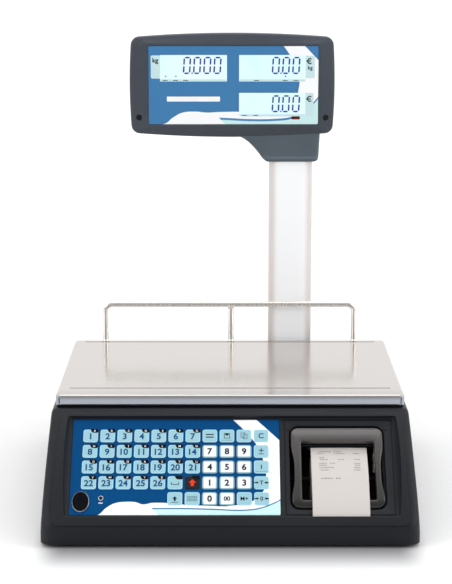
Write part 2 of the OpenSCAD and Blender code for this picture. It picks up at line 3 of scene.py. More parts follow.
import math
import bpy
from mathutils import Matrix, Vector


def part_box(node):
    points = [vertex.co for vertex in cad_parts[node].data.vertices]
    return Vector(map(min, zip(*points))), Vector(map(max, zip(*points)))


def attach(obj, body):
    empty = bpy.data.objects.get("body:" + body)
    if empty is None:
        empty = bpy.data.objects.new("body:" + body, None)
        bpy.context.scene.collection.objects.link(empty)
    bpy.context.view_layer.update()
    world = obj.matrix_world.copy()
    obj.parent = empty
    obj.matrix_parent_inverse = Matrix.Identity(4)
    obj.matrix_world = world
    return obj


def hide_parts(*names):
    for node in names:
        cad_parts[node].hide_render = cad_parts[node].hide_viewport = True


bl_info = {
    "name": "Label Printing Scale",
    "version": (1, 0, 0),
    "blender": (4, 5, 0),
    "location": "View3D > Sidebar > Scale",
    "description": "Builds the visible pieces of a label printing scale around its CAD frame",
    "category": "Object",
}

import bpy
import numpy as np
from bpy.props import FloatProperty, FloatVectorProperty, PointerProperty
from bpy.types import Operator, Panel, PropertyGroup
from mathutils import Vector

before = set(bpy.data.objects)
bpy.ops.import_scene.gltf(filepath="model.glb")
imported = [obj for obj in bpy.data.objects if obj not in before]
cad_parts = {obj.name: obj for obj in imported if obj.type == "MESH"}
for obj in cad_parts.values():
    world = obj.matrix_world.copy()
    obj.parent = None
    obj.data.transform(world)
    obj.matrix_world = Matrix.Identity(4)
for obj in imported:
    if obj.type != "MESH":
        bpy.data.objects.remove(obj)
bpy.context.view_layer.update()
MM = 0.001  # the shape functions work in millimetres, and a mesh is in metres


def box_mm(node):
    """Lowest and highest corner of a CAD node, in millimetres."""
    low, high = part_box(node)
    return np.array(low) / MM, np.array(high) / MM


def srgb(text):
    """A colour written as RRGGBB, as linear light."""
    c = np.array([int(text[i:i + 2], 16) for i in (0, 2, 4)]) / 255
    return tuple(np.where(c <= 0.04045, c / 12.92, ((c + 0.055) / 1.055) ** 2.4))


# ---------------------------------------------------------------- settings

def length(name, default, description):
    """A length property, whose default is given in millimetres."""
    return FloatProperty(name=name, default=default * MM, unit="LENGTH", precision=5, description=description)


def colour(name, default, description):
    """A colour property, whose default is written as RRGGBB."""
    return FloatVectorProperty(name=name, default=srgb(default), subtype="COLOR", size=3, min=0, max=1,
                               description=description)


class ScaleSizes(PropertyGroup):
    """Sizes that a user would change."""
    slope: FloatProperty(name="Panel slope", default=math.radians(46), subtype="ANGLE",
                         description="Slope of the keypad panel")
    bulge: length("Cheek bulge", 5, "How far the casing bulges over the panel plane")
    plateau: length("Plateau step", 1, "Height of the raised field round the panel")
    key_pitch: length("Key pitch", 17.37, "Distance from one key column to the next")
    row_pitch: length("Row pitch", 17.6, "Distance from one key row to the next")
    key_width: length("Key width", 15, "Width of a key")
    key_length: length("Key length", 14.4, "Length of a key down the slope")
    key_round: length("Key corner", 2.5, "Corner radius of a key")
    sheet: length("Platter sheet", 1.2, "Thickness of the platter's sheet")
    platter_corner: length("Platter corner", 3.5, "Corner radius of the platter")
    digit_height: length("Display digit", 17.6, "Height of a display digit")
    digit_lean: FloatProperty(name="Digit lean", default=0.06,
                              description="Sideways lean of a digit per unit height")


class ScaleColours(PropertyGroup):
    """Colours of the finishes."""
    casing: colour("Casing", "101319", "Moulded base casing")
    tray: colour("Tray", "0C1015", "Bottom tray")
    head: colour("Head", "3E434C", "Front shell of the head")
    neck: colour("Neck", "4F5961", "Rear shell and neck")
    overlay: colour("Keypad ground", "004377", "Ground of the keypad overlay")
    window: colour("Window ground", "3E79AB", "Ground of the display window")
    white: colour("White print", "F4F6F8", "White print on both overlays")
    pale: colour("Pale print", "C6E8E8", "Pale blue print")
    key: colour("Key", "92BDCA", "Function keys")
    number: colour("Number key", "E4E9EB", "Number keys")
    ink: colour("Legend", "0E4777", "Numbers on the function keys")
    black: colour("Black print", "0C0E12", "Black print")
    red: colour("Red print", "E8391E", "Mark on the shift key")
    lcd: colour("Display glass", "D5E3ED", "Backlit display glass")
    digit: colour("Display digit", "2B3E8F", "Display segments")
    lid: colour("Printer lid", "423F3E", "Smoky printer lid")
    paper: colour("Paper", "C6C0BD", "Printer paper")
    steel: colour("Stainless", "D8D3CF", "Platter")
    wire: colour("Rail wire", "FBF6F0", "Rail")
    column: colour("Column", "F9FAFC", "Anodised column")


def sizes():
    return bpy.context.scene.scale_sizes


def hues():
    return bpy.context.scene.scale_colours


# ---------------------------------------------------------------- places, from the frame

CASING_HIGH = box_mm("top_housing")[1]
PLATTER_LOW, PLATTER_HIGH = box_mm("platter")
RAIL_LOW, RAIL_HIGH = box_mm("rail")
COLUMN_LOW, COLUMN_HIGH = box_mm("column_tube")
WINDOW_LOW, WINDOW_HIGH = box_mm("front_window")
HEAD_LOW, HEAD_HIGH = box_mm("head_front_shell")
REAR_HIGH = box_mm("head_rear_shell")[1]
INLET_LOW, INLET_HIGH = box_mm("power_inlet")
STRIP_LOW, STRIP_HIGH = box_mm("paper_strip")

PANEL_Y, PANEL_Z = -108.0, 115.0  # upper end of the panel plane
LID_X, LID_S = (61.8, 155.0), (18.7, 109.3)
WINDOW_X, WINDOW_S = (72.1, 146.2), (36.0, 101.0)
RECESS_X, RECESS_S = (-162.5, 166.5), (8.0, 119.5)
POCKET_X, POCKET_S = (-160.6, 50.2), (10.0, 117.0)
STRIP_S = (39.0, 119.0)
HINGE = (22.0, -0.8)  # down the slope, out of the panel
DIVIDE_X = 52.4
POWER_AT, LAMP_AT = (-149.4, 102.6), (-129.3, 98.5)
HEAD_SCREWS, HEAD_SCREW_Z = (-103.0, 109.0), 390.5
RAIL_MID = 1.5
GROOVES_Y, GROOVE_END = (-75.5, 131.5), 168.0
KEY_X0, KEY_S0 = -149.7, 21.5
KEY_TOP = 0.6
NUMBER_KEYS = {"key_0": (7, 4), "key_1": (7, 3), "key_2": (8, 3), "key_3": (9, 3), "key_4": (7, 2),
               "key_5": (8, 2),
               "key_6": (9, 2), "key_7": (7, 1), "key_8": (8, 1), "key_9": (9, 1), "key_00": (8, 4)}


# ---------------------------------------------------------------- shapes

def arc(cx, cy, r, a0, a1, n):
    """n points of a circle's arc about (cx, cy), from a0 to a1 degrees."""
    a = np.radians(np.linspace(a0, a1, n))
    return np.stack([cx + r * np.cos(a), cy + r * np.sin(a)], 1)


def soft_rect(x0, x1, y0, y1, r, corner=8, spread=None, side=10, bow=(0, 0)):
    """A rounded rectangle, anticlockwise from its lower right corner. Each side may bow out as a parabola
    of height bow = (left and right, top and bottom). spread holds places from -1 to 1 along the top and
    bottom sides."""
    r = np.broadcast_to(r, 4)  # lower right, upper right, upper left, lower left
    across = np.linspace(-1, 1, side + 2)[1:-1] if spread is None else np.asarray(spread)
    up = np.linspace(-1, 1, side + 2)[1:-1]

    def edge(p, q, places, out, height):
        t = (places[:, None] + 1) / 2
        p, q, out = np.array(p), np.array(q), np.array(out)
        return p + (q - p) * t + out * height * 4 * t * (1 - t)

    return np.concatenate([
        arc(x1 - r[0], y0 + r[0], r[0], 270, 360, corner),
        edge((x1, y0 + r[0]), (x1, y1 - r[1]), up, (1, 0), bow[0]),
        arc(x1 - r[1], y1 - r[1], r[1], 0, 90, corner),
        edge((x1 - r[1], y1), (x0 + r[2], y1), -across[::-1], (0, 1), bow[1]),
        arc(x0 + r[2], y1 - r[2], r[2], 90, 180, corner),
        edge((x0, y1 - r[2]), (x0, y0 + r[3]), up, (-1, 0), bow[0]),
        arc(x0 + r[3], y0 + r[3], r[3], 180, 270, corner),
        edge((x0 + r[3], y0), (x1 - r[0], y0), across, (0, -1), bow[1])])


def loft(rings, cap_first=False, cap_last=False, closed=True):
    """A skin of quads over rings of equally many points: point j of ring i joins points j + 1 and ring i +
    1."""
    rings = np.asarray(rings, float)
    m, n = rings.shape[:2]
    i, j = np.meshgrid(np.arange(m - 1), np.arange(n if closed else n - 1), indexing="ij")
    k = (j + 1) % n
    quads = np.stack([i * n + j, i * n + k, (i + 1) * n + k, (i + 1) * n + j], -1).reshape(-1, 4)
    faces = quads.tolist()
    if cap_first:
        faces.append(list(range(n))[::-1])
    if cap_last:
        faces.append(list(range((m - 1) * n, m * n)))
    return rings.reshape(-1, 3), faces


def volume(verts, faces):
    """Six times the volume that the faces close, about their middle; positive when they face outwards."""
    v = verts - verts.mean(0)
    tri = np.array([(f[0], f[i], f[i + 1]) for f in faces for i in range(1, len(f) - 1)])
    a, b, c = v[tri[:, 0]], v[tri[:, 1]], v[tri[:, 2]]
    return np.einsum("ij,ij->", a, np.cross(b, c))


def outward(part):
    """The same part with its faces turned outwards."""
    verts, faces = part
    return (verts, faces) if volume(verts, faces) > 0 else (verts, [f[::-1] for f in faces])


def facing(part, direction):
    """The same flat part with its faces turned towards direction."""
    verts, faces = part
    f = faces[int(np.argmax([len(f) for f in faces]))]
    p = verts[f]
    normal = np.cross(p, np.roll(p, -1, 0)).sum(0)
    return (verts, faces) if normal @ np.asarray(direction) > 0 else (verts, [f[::-1] for f in faces])


def joined(parts):
    """Several parts as one."""
    verts, faces, start = [], [], 0
    for v, f in parts:
        verts.append(v)
        faces += [[i + start for i in face] for face in f]
        start += len(v)
    return np.concatenate(verts), faces


def level(outline, z):
    """A flat outline at height z."""
    return np.column_stack([outline, np.broadcast_to(z, len(outline))])


def upright(outline, y):
    """A front outline of X and Z, at depth y."""
    return np.column_stack([outline[:, 0], np.broadcast_to(y, len(outline)), outline[:, 1]])


def on_panel(points):
    """Points of (across, down the slope, out of the panel) as points of the CAD frame."""
    p = np.asarray(points, float)
    c, s = math.cos(sizes().slope), math.sin(sizes().slope)
    x, down, out = p[..., 0], p[..., 1], p[..., 2]
    return np.stack([x, PANEL_Y - down * c - out * s, PANEL_Z - down * s + out * c], -1)


def off_panel(y, z):
    """The places down the slope and out of the panel of points at y and z: the inverse of on_panel."""
    c, s = math.cos(sizes().slope), math.sin(sizes().slope)
    dy, dz = y - PANEL_Y, z - PANEL_Z
    return -(dy * c + dz * s), -dy * s + dz * c


def panel_out():
    return (0, -math.sin(sizes().slope), math.cos(sizes().slope))


def tube(path, radius, n=16, capped=True):
    """A round bar of that radius along a path: at each point a circle square to the path's direction."""
    path = np.asarray(path, float)
    ahead = np.gradient(path, axis=0)
    ahead /= np.linalg.norm(ahead, axis=1, keepdims=True)
    ref = np.array([0.0, 1.0, 0.0]) if abs(ahead[:, 1]).max() < 0.9 else np.array([1.0, 0.0, 0.0])
    side = np.cross(ahead, ref)
    side /= np.linalg.norm(side, axis=1, keepdims=True)
    up = np.cross(side, ahead)
    a = np.linspace(0, 2 * np.pi, n, endpoint=False)
    r = np.broadcast_to(radius, len(path))[:, None, None]
    rings = path[:, None] + r * (np.cos(a)[None, :, None] * side[:, None] + np.sin(a)[None, :, None]
                                 * up[:, None])
    return outward(loft(rings, capped, capped))


def turned(profile, centre, axis=(0, 0, 1), n=32):
    """A profile of (radius, height) turned round an axis through centre: each point makes a circle."""
    profile = np.asarray(profile, float)
    axis = np.array(axis, float)
    u = np.cross(axis, (0.31, 0.87, 0.21))
    u /= np.linalg.norm(u)
    v = np.cross(axis, u)
    a = np.linspace(0, 2 * np.pi, n, endpoint=False)
    round_ = np.cos(a)[:, None] * u + np.sin(a)[:, None] * v
    rings = np.array(centre) + profile[:, 0][:, None, None] * round_ + profile[:, 1][:, None, None] * axis
    return outward(loft(rings, True, True))


def piece(name, part, material, body="base", replaces=(), smooth=40):
    """Puts a part, in millimetres, into a new object that rides on a body. material may be a list, with the
    third item of part giving each face's number in it."""
    mesh = bpy.data.meshes.new(name)
    mesh.from_pydata((part[0] * MM).tolist(), [], part[1])
    materials = material if isinstance(material, (list, tuple)) else [material]
    for m in materials:
        mesh.materials.append(m)
    if len(part) > 2:
        mesh.polygons.foreach_set("material_index", np.asarray(part[2], np.int32))
    mesh.polygons.foreach_set("use_smooth", np.ones(len(mesh.polygons), bool))
    mesh.set_sharp_from_angle(angle=math.radians(smooth))
    mesh.update()
    obj = bpy.data.objects.new(name, mesh)
    bpy.context.scene.collection.objects.link(obj)
    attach(obj, body)
    if replaces:
        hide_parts(*replaces)
    return obj


def finish_node(node, material):
    """Gives a CAD node its material."""
    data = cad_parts[node].data
    data.materials.clear()
    data.materials.append(material)


def lettering(text, height, bold=0.0):
    """A word as flat faces centred on the origin, in millimetres: the outline font as a mesh."""
    curve = bpy.data.curves.new("lettering", "FONT")
    curve.body, curve.size, curve.align_x, curve.align_y = text, height, "CENTER", "CENTER"
    curve.offset, curve.resolution_u = bold * height, 4
    obj = bpy.data.objects.new("lettering", curve)
    bpy.context.scene.collection.objects.link(obj)
    bpy.context.view_layer.update()
    mesh = obj.evaluated_get(bpy.context.evaluated_depsgraph_get()).to_mesh()
    verts = np.zeros(len(mesh.vertices) * 3)
    mesh.vertices.foreach_get("co", verts)
    faces = [list(p.vertices) for p in mesh.polygons]
    verts = verts.reshape(-1, 3)
    bpy.data.objects.remove(obj)
    bpy.data.curves.remove(curve)
    mid = (verts.max(0) + verts.min(0)) / 2
    return verts - mid, faces


def flat(points):
    """A flat polygon of (x, y) points."""
    return level(np.asarray(points, float), 0.0), [list(range(len(points)))]


def bar(x0, x1, y0, y1):
    return flat([(x0, y0), (x1, y0), (x1, y1), (x0, y1)])


# ---------------------------------------------------------------- materials

class Finish:
    """A material under construction: nodes are added with put, whose inputs are values or other nodes'
    sockets."""

    def __init__(self, name, **inputs):
        self.material = bpy.data.materials.new(name)
        self.material.use_nodes = True
        self.tree = self.material.node_tree
        self.tree.nodes.clear()
        self.shader = self.put("ShaderNodeBsdfPrincipled", inputs)
        out = self.put("ShaderNodeOutputMaterial")
        self.link(self.shader.outputs[0], out.inputs[0])
        self.coords = self.put("ShaderNodeTexCoord").outputs["Object"]

    def put(self, kind, inputs=None, **settings):
        node = self.tree.nodes.new(kind)
        for key, value in settings.items():
            setattr(node, key, value)
        for key, value in (inputs or {}).items():
            self.set(node.inputs[key], value)
        return node

    def set(self, socket, value):
        if isinstance(value, bpy.types.NodeSocket):
            self.link(value, socket)
        elif hasattr(socket.default_value, "__len__") and len(socket.default_value) == 4:
            socket.default_value = (*tuple(value)[:3], 1)
        else:
            socket.default_value = value

    def link(self, a, b):
        self.tree.links.new(a, b)

    def math(self, operation, a, b=0.0, c=0.0):
        node = self.tree.nodes.new("ShaderNodeMath")
        node.operation = operation
        for socket, value in zip(node.inputs, (a, b, c)):
            self.set(socket, value)
        return node.outputs[0]

    def noise(self, scale, detail=3.0, roughness=0.55, stretch=None):
        """Noise on the object's own coordinates, with scale per metre, stretched along an axis by stretch."""
        where = self.coords
        if stretch:
            where = self.put("ShaderNodeMapping", {"Vector": where, "Scale": stretch}).outputs[0]
        return self.put("ShaderNodeTexNoise", {"Vector": where, "Scale": scale, "Detail": detail,
                                               "Roughness": roughness}).outputs["Fac"]

    def spread(self, factor, low, high):
        """A factor of 0 to 1 as low to high."""
        return self.put("ShaderNodeMapRange", {"Value": factor, "From Min": 0.3, "From Max": 0.7,
                                               "To Min": low,
                                               "To Max": high}).outputs[0]

    def mix(self, factor, a, b):
        node = self.put("ShaderNodeMix", data_type="RGBA")
        self.set(node.inputs[0], factor)
        self.set(node.inputs[6], a)
        self.set(node.inputs[7], b)
        return node.outputs[2]

    def tone(self, factor, base, spread):
        """The base colour, darker and lighter by spread as the factor goes from 0 to 1."""
        base = np.array(base[:3])
        return self.mix(factor, np.clip(base * (1 - spread), 0, 1), np.clip(base * (1 + spread), 0, 1))

    def colour(self, value):
        self.set(self.shader.inputs["Base Color"], value)

    def rough(self, value):
        self.set(self.shader.inputs["Roughness"], value)

    def bump(self, height, distance, strength=1.0):
        node = self.put("ShaderNodeBump", {"Height": height, "Distance": distance, "Strength": strength})
        self.link(node.outputs[0], self.shader.inputs["Normal"])


def moulded(name, base, rough=0.42, grain=0.00004, tone=0.10, wear=0.25, gloss=0.3):
    """Moulded plastic: spark-eroded grain, uneven gloss from handling, and edges rubbed a little lighter."""
    f = Finish(name, **{"Specular IOR Level": gloss})
    fine = f.noise(2600, 2)
    broad = f.noise(14, 4)
    body = f.tone(f.spread(broad, 0, 1), base, tone)
    edge = f.put("ShaderNodeNewGeometry").outputs["Pointiness"]
    rubbed = f.put("ShaderNodeMapRange", {"Value": edge, "From Min": 0.53, "From Max": 0.62,
                                          "To Max": wear}).outputs[0]
    f.colour(f.mix(rubbed, body, np.clip(np.array(base[:3]) * 2.2 + 0.01, 0, 1)))
    f.rough(f.math("ADD", f.spread(broad, rough - 0.06, rough + 0.06), f.math("MULTIPLY", fine, 0.05)))
    f.bump(fine, grain * 4)
    return f.material


def smoked(name, base):
    """Smoky glossy plastic, painted darker towards its lower end: painted reflection of the bright room above
    at its top and of the darker room in front at its bottom.
    """
    f = Finish(name, **{"Specular IOR Level": 0.5, "Coat Weight": 0.3, "Coat Roughness": 0.12})
    down = f.put("ShaderNodeSeparateXYZ", {"Vector": local_panel(f)}).outputs[1]
    # painted reflection: depth is the share of the way down the lid, and mixes the colour towards a dark tone
    depth = f.put("ShaderNodeMapRange", {"Value": down, "From Min": -LID_S[0] * MM,
                                         "From Max": -LID_S[1] * MM},
                  interpolation_type="SMOOTHSTEP").outputs[0]
    f.colour(f.mix(depth, f.tone(f.noise(30, 3), base, 0.08), np.array(base[:3]) * 0.16))
    f.rough(f.spread(f.noise(25, 3), 0.26, 0.34))
    f.bump(f.noise(2600, 2), 0.00006)
    return f.material


def printed(name, base, rough=0.3):
    """Printed polyester: an even ink with a fine matt texture in its face."""
    f = Finish(name, **{"Specular IOR Level": 0.3})
    fine = f.noise(3000, 2)
    f.colour(f.tone(f.noise(60, 3), base, 0.035))
    f.rough(f.spread(fine, rough - 0.05, rough + 0.05))
    f.bump(fine, 0.00003)
    return f.material


def ink(name, base):
    """Screen-printed ink: slightly uneven coverage."""
    f = Finish(name, **{"Specular IOR Level": 0.1})
    f.colour(f.tone(f.noise(900, 3), base, 0.06))
    f.rough(f.spread(f.noise(2000, 2), 0.32, 0.45))
    return f.material


def brushed(name, base, along="X", rough=0.24, metal=1.0, depth=0.00002, tone=0.06, shade=None):
    """Brushed metal: noise drawn out along the brushing direction, in the gloss, the tint and the relief.
    shade may change the tint from place to place."""
    stretch = {"X": (1.5, 160, 160), "Y": (160, 1.5, 160), "Z": (160, 160, 1.5)}[along]
    f = Finish(name, Metallic=metal)
    lines = f.noise(9, 5, 0.7, stretch)
    tint = f.tone(f.spread(lines, 0, 1), base, tone)
    f.colour(shade(f, tint) if shade else tint)
    f.rough(f.math("ADD", f.spread(lines, rough - 0.04, rough + 0.04),
                   f.math("MULTIPLY", f.noise(18, 3), 0.05)))
    f.bump(lines, depth)
    return f.material


def rubber(name, base):
    """Rubber: dull, with a dusty bloom."""
    f = Finish(name, **{"Specular IOR Level": 0.3})
    cloud = f.noise(120, 5)
    f.colour(f.tone(cloud, base, 0.3))
    f.rough(f.spread(cloud, 0.7, 0.85))
    f.bump(f.noise(1500, 3), 0.0001)
    return f.material


def paper_finish(name, base):
    """Thermal paper: faint fibres and a slight sheen."""
    f = Finish(name, **{"Specular IOR Level": 0.35})
    fibre = f.noise(500, 5, 0.7, (1, 3, 3))
    f.colour(f.tone(fibre, base, 0.03))
    f.rough(f.spread(fibre, 0.55, 0.68))
    f.bump(fibre, 0.00004)
    return f.material


def plain_metal(name, base, rough=0.35):
    """Machined or cast metal: mottled tint and gloss."""
    f = Finish(name, Metallic=0.9)
    grain = f.noise(300, 4)
    f.colour(f.tone(grain, base, 0.15))
    f.rough(f.spread(grain, rough - 0.08, rough + 0.1))
    f.bump(grain, 0.00005)
    return f.material


def board_finish(name):
    """A circuit board: green solder mask with paler copper tracks under it."""
    f = Finish(name)
    tracks = f.put("ShaderNodeTexBrick", {"Vector": f.coords, "Scale": 260.0, "Mortar Size": 0.06})
    f.colour(f.mix(tracks.outputs["Fac"], srgb("0E4A2A"), srgb("2C7A47")))
    f.rough(f.spread(f.noise(400, 2), 0.3, 0.45))
    f.bump(tracks.outputs["Fac"], 0.00006)
    return f.material


def local_panel(f):
    """The object's coordinates turned into the panel's own: across, up the slope, out."""
    return f.put("ShaderNodeMapping", {"Vector": f.coords, "Location": (0, PANEL_Y * MM, PANEL_Z * MM),
                                       "Rotation": (sizes().slope, 0, 0)}, vector_type="TEXTURE").outputs[0]


def curve_of(f, value, points, handle="AUTO"):
    """A curve through points of (place, height), each from 0 to 1, read at value."""
    node = f.put("ShaderNodeFloatCurve", {"Value": value})
    curve = node.mapping.curves[0]
    while len(curve.points) < len(points):
        curve.points.new(0.5, 0.5)
    for p, (x, y) in zip(curve.points, points):
        p.location = (x, y)
        p.handle_type = handle
    node.mapping.update()
    return node.outputs[0]


def artwork(f, across, down, ground, white, pale, line, swoosh, band, corner, tail, stroke):
    """The overlay's print. across and down go from 0 to 1 over the sheet. White fills the sheet below the
    swoosh curve and to the right of the band curve, but not over the corner curve; pale blue fills it below
    the tail curve, under a thin line."""
    def below(points, handle="AUTO"):
        return f.math("GREATER_THAN", down, curve_of(f, across, points, handle))

    right = f.math("GREATER_THAN", across, curve_of(f, down, band))
    white_zone = f.math("MULTIPLY", below(corner, "VECTOR"), f.math("MAXIMUM", below(swoosh), right))
    tail_curve = curve_of(f, across, tail)
    under = f.math("SUBTRACT", down, tail_curve)
    begun = f.math("GREATER_THAN", f.math("SUBTRACT", across, f.math("MULTIPLY", under, 0.45)), stroke[0])
    on_line = f.math("MULTIPLY", f.math("LESS_THAN", f.math("ABSOLUTE", under), stroke[1]), begun)
    pale_zone = f.math("MULTIPLY", f.math("GREATER_THAN", under, 0.0), begun)
    body = f.mix(white_zone, ground, white)
    body = f.mix(pale_zone, body, pale)
    return f.mix(on_line, body, line)


def keypad_print():
    """The keypad overlay: blue ground, white swoosh and corner band, pale field at the lower right."""
    f = Finish("keypad_print", **{"Specular IOR Level": 0.06})
    where = f.put("ShaderNodeSeparateXYZ", {"Vector": local_panel(f)})
    across = f.put("ShaderNodeMapRange", {"Value": where.outputs[0], "From Min": POCKET_X[0] * MM,
                                          "From Max": POCKET_X[1] * MM}).outputs[0]
    down = f.put("ShaderNodeMapRange", {"Value": where.outputs[1], "From Min": -POCKET_S[0] * MM,
                                        "From Max": -POCKET_S[1] * MM}).outputs[0]
    h = hues()
    f.colour(artwork(
        f, across, down, h.overlay, h.white, h.pale, srgb("2A6FA3"),
        swoosh=[(0, 1), (0.132, 1), (0.176, 0.925), (0.219, 0.876), (0.269, 0.863), (0.313, 0.867),
                (0.349, 0.889),
                (0.395, 0.874), (0.575, 0.897), (0.74, 0.911), (1, 0.93)],
        band=[(0, 0.776), (0.112, 0.83), (0.215, 0.871), (0.295, 0.897), (0.41, 0.918), (0.55, 0.932),
              (0.68, 0.932),
              (0.757, 0.918), (0.832, 0.887), (0.888, 0.821), (0.911, 0.74), (1, 0.6)],
        corner=[(0, 0), (0.89, 0), (1, 0.22)],
        tail=[(0, 0.93), (0.39, 0.932), (0.537, 0.932), (0.68, 0.94), (0.826, 0.949), (0.897, 0.932),
              (0.97, 0.876),
              (1, 0.843)], stroke=(0.392, 0.0065)))
    fine = f.noise(3000, 2)
    f.rough(f.spread(fine, 0.34, 0.44))
    f.bump(fine, 0.00003)
    return f.material


def window_print(name, mirrored):
    """The display window: the same artwork on a lighter ground."""
    f = Finish(name, **{"Specular IOR Level": 0.35})
    where = f.put("ShaderNodeSeparateXYZ", {"Vector": f.coords})
    ends = (WINDOW_HIGH[0], WINDOW_LOW[0]) if mirrored else (WINDOW_LOW[0], WINDOW_HIGH[0])
    across = f.put("ShaderNodeMapRange", {"Value": where.outputs[0], "From Min": ends[0] * MM,
                                          "From Max": ends[1] * MM}).outputs[0]
    down = f.put("ShaderNodeMapRange", {"Value": where.outputs[2], "From Min": WINDOW_HIGH[2] * MM,
                                        "From Max": WINDOW_LOW[2] * MM}).outputs[0]
    h = hues()
    f.colour(artwork(
        f, across, down, h.window, h.white, h.pale, srgb("4D84B5"),
        swoosh=[(0, 1), (0.084, 1), (0.146, 0.91), (0.201, 0.85), (0.279, 0.838), (0.342, 0.85),
                (0.42, 0.842),
                (0.75, 0.842), (1, 0.842)],
        band=[(0, 0.796), (0.102, 0.829), (0.25, 0.865), (0.4, 0.889), (0.585, 0.882), (0.75, 0.87),
              (0.87, 0.8), (1, 0.7)],
        corner=[(0, 0), (0.921, 0), (1, 0.179)],
        tail=[(0, 0.93), (0.42, 0.93), (0.6, 0.948), (0.74, 0.945), (0.84, 0.92), (0.92, 0.83), (1, 0.66)],
        stroke=(0.42, 0.014)))
    f.rough(f.spread(f.noise(2500, 2), 0.16, 0.24))
    return f.material


def display_glass():
    """A backlit display, whose tint and glow vary in soft clouds."""
    f = Finish("display_glass", **{"Coat Weight": 0.3, "Coat Roughness": 0.08, "Emission Strength": 0.27})
    cloud = f.noise(16, 2)
    tint = f.mix(f.spread(cloud, 0, 1), srgb("BFE3F1"), hues().lcd)
    f.colour(tint)
    f.set(f.shader.inputs["Emission Color"], tint)
    f.rough(f.spread(f.noise(1500, 2), 0.2, 0.28))
    return f.material


# ---------------------------------------------------------------- the base

def slope_curve(t):
    """Side profile of the slope at t from 0 at its foot to 1 at the deck: a straight line, bowed out as a
    parabola."""
    foot, top = np.array([-199.4, 21.0]), np.array([-107.6, 118.0])
    along = top - foot
    out = np.array([-along[1], along[0]]) / np.linalg.norm(along)
    t = np.asarray(t, float)[..., None]
    return foot + along * t + out * sizes().bulge / MM * 4 * t * (1 - t)


def rise(s):
    """Height of the bulged casing over the panel plane, at s down the slope."""
    t = np.linspace(-0.1, 1.1, 200)
    p = slope_curve(t)
    down, out = off_panel(p[:, 0], p[:, 1])
    return np.interp(s, down[::-1], out[::-1])


def front_edge(z):
    """Y of the casing's front at height z: skirt, a soft corner, the bowed slope and the rounded deck
    edge."""
    a = np.array([-199.9, 17.0])
    corner, b = np.array([-199.5, 21.0]), slope_curve(0.045)
    t = np.linspace(0, 1, 9)[:, None]
    soft = a * (1 - t) ** 2 + 2 * corner * t * (1 - t) + b * t ** 2
    slope = slope_curve(np.linspace(0.05, 0.984, 60))
    r, cy, cz = 6.0, -105.54, 112.0
    top = arc(cy, cz, r, 127.9, 90, 8)
    line = np.concatenate([[[-200, 13.0]], soft, slope, top])
    return np.interp(z, line[:, 1], line[:, 0])


def side_edge(z):
    """Half width of the casing at height z: drafted walls and a rounded top edge of 6 mm."""
    z = np.asarray(z, float)
    wall = 189 - 5.015 * (z - 13) / 99.4
    return np.where(z <= 112.4, wall, 178 + np.sqrt(np.maximum(36 - (np.maximum(z, 112) - 112) ** 2, 0)))


def rear_edge(z):
    """Y of the casing's rear at height z: an upright wall and a rounded top edge of 12 mm."""
    return np.where(z <= 106, 200.0, 188 + np.sqrt(np.maximum(144 - (np.maximum(z, 106) - 106) ** 2, 0)))


def widening(down):
    """How much wider the plateau is at a distance down the slope than at its top."""
    return 1 + 0.023 * (down - 2) / 127.5


def panel_outline(inset, n=28):
    """The raised plateau's outline in the panel's plane, wider at its foot, as (across, down)."""
    p = soft_rect(-174 + inset, 174 - inset, 2 + inset, 129.5 - inset, max(6 - inset, 1), side=n)
    return np.column_stack([p[:, 0] * widening(p[:, 1]), p[:, 1]])


def recess_ring(up, inset, n=28):
    """Outline of the recess, at a share up of its wall: its end walls lean outwards by 0.75 of their
    height."""
    p = soft_rect(RECESS_X[0] + inset, RECESS_X[1] - inset, RECESS_S[0] + inset, RECESS_S[1] - inset,
                  max(2.0 - inset, 0.3), side=n)
    mid, half = sum(RECESS_X) / 2, (RECESS_X[1] - RECESS_X[0]) / 2
    height = (rise(p[:, 1]) + sizes().plateau / MM) * up
    return np.column_stack([mid + (p[:, 0] - mid) * (half + 0.75 * height) / half, p[:, 1], height])


def casing_skin():
    """Level rings from the tray up to the deck. The faces under the plateau and behind the inlet are left
    out."""
    z = np.concatenate([[13, 13.5, 15], np.linspace(17, 27, 14), np.linspace(29, 106, 27)[1:],
                        106 + 12 * np.sin(np.radians(np.linspace(6, 90, 20)))])
    z = np.sort(np.append(z, [INLET_LOW[2] - 0.3, INLET_HIGH[2] + 0.3]))
    places = np.sin(np.radians(np.linspace(-88, 88, 75)))
    cut = [(INLET_LOW[0] - 0.3) / 177.5, (INLET_HIGH[0] + 0.3) / 177.5]
    places = np.sort(np.append(places, cut + [-c for c in cut]))
    rings = []
    for h in z:
        w, yf, yr = float(side_edge(h)), float(front_edge(h)), float(rear_edge(h))
        worn = 189 - 5.015 * (h - 13) / 99.4 - w
        front_r = max(np.interp(h, [20, 40], [12, 8]) - worn, 2)
        rear_r = max(12 - worn, 3)
        rings.append(level(soft_rect(-w, w, yf, yr, (front_r, rear_r, rear_r, front_r), spread=places,
                                     side=40), h))
    verts, faces = loft(rings, cap_last=True)
    quads = np.array(faces[:-1])
    down, out = off_panel(verts[:, 1], verts[:, 2])
    under = (abs(verts[:, 0]) < 173 * widening(down)) & (down > 3.2) & (down < 128.5) & (out > -3)
    behind = ((verts[:, 1] > 150) & (verts[:, 0] > INLET_LOW[0] - 1.5) & (verts[:, 0] < INLET_HIGH[0] + 1.5)
              & (verts[:, 2] > INLET_LOW[2] - 0.5) & (verts[:, 2] < INLET_HIGH[2] + 0.5))
    keep = ~(under[quads].all(1) | behind[quads].all(1))
    return outward((verts, quads[keep].tolist() + faces[-1:]))


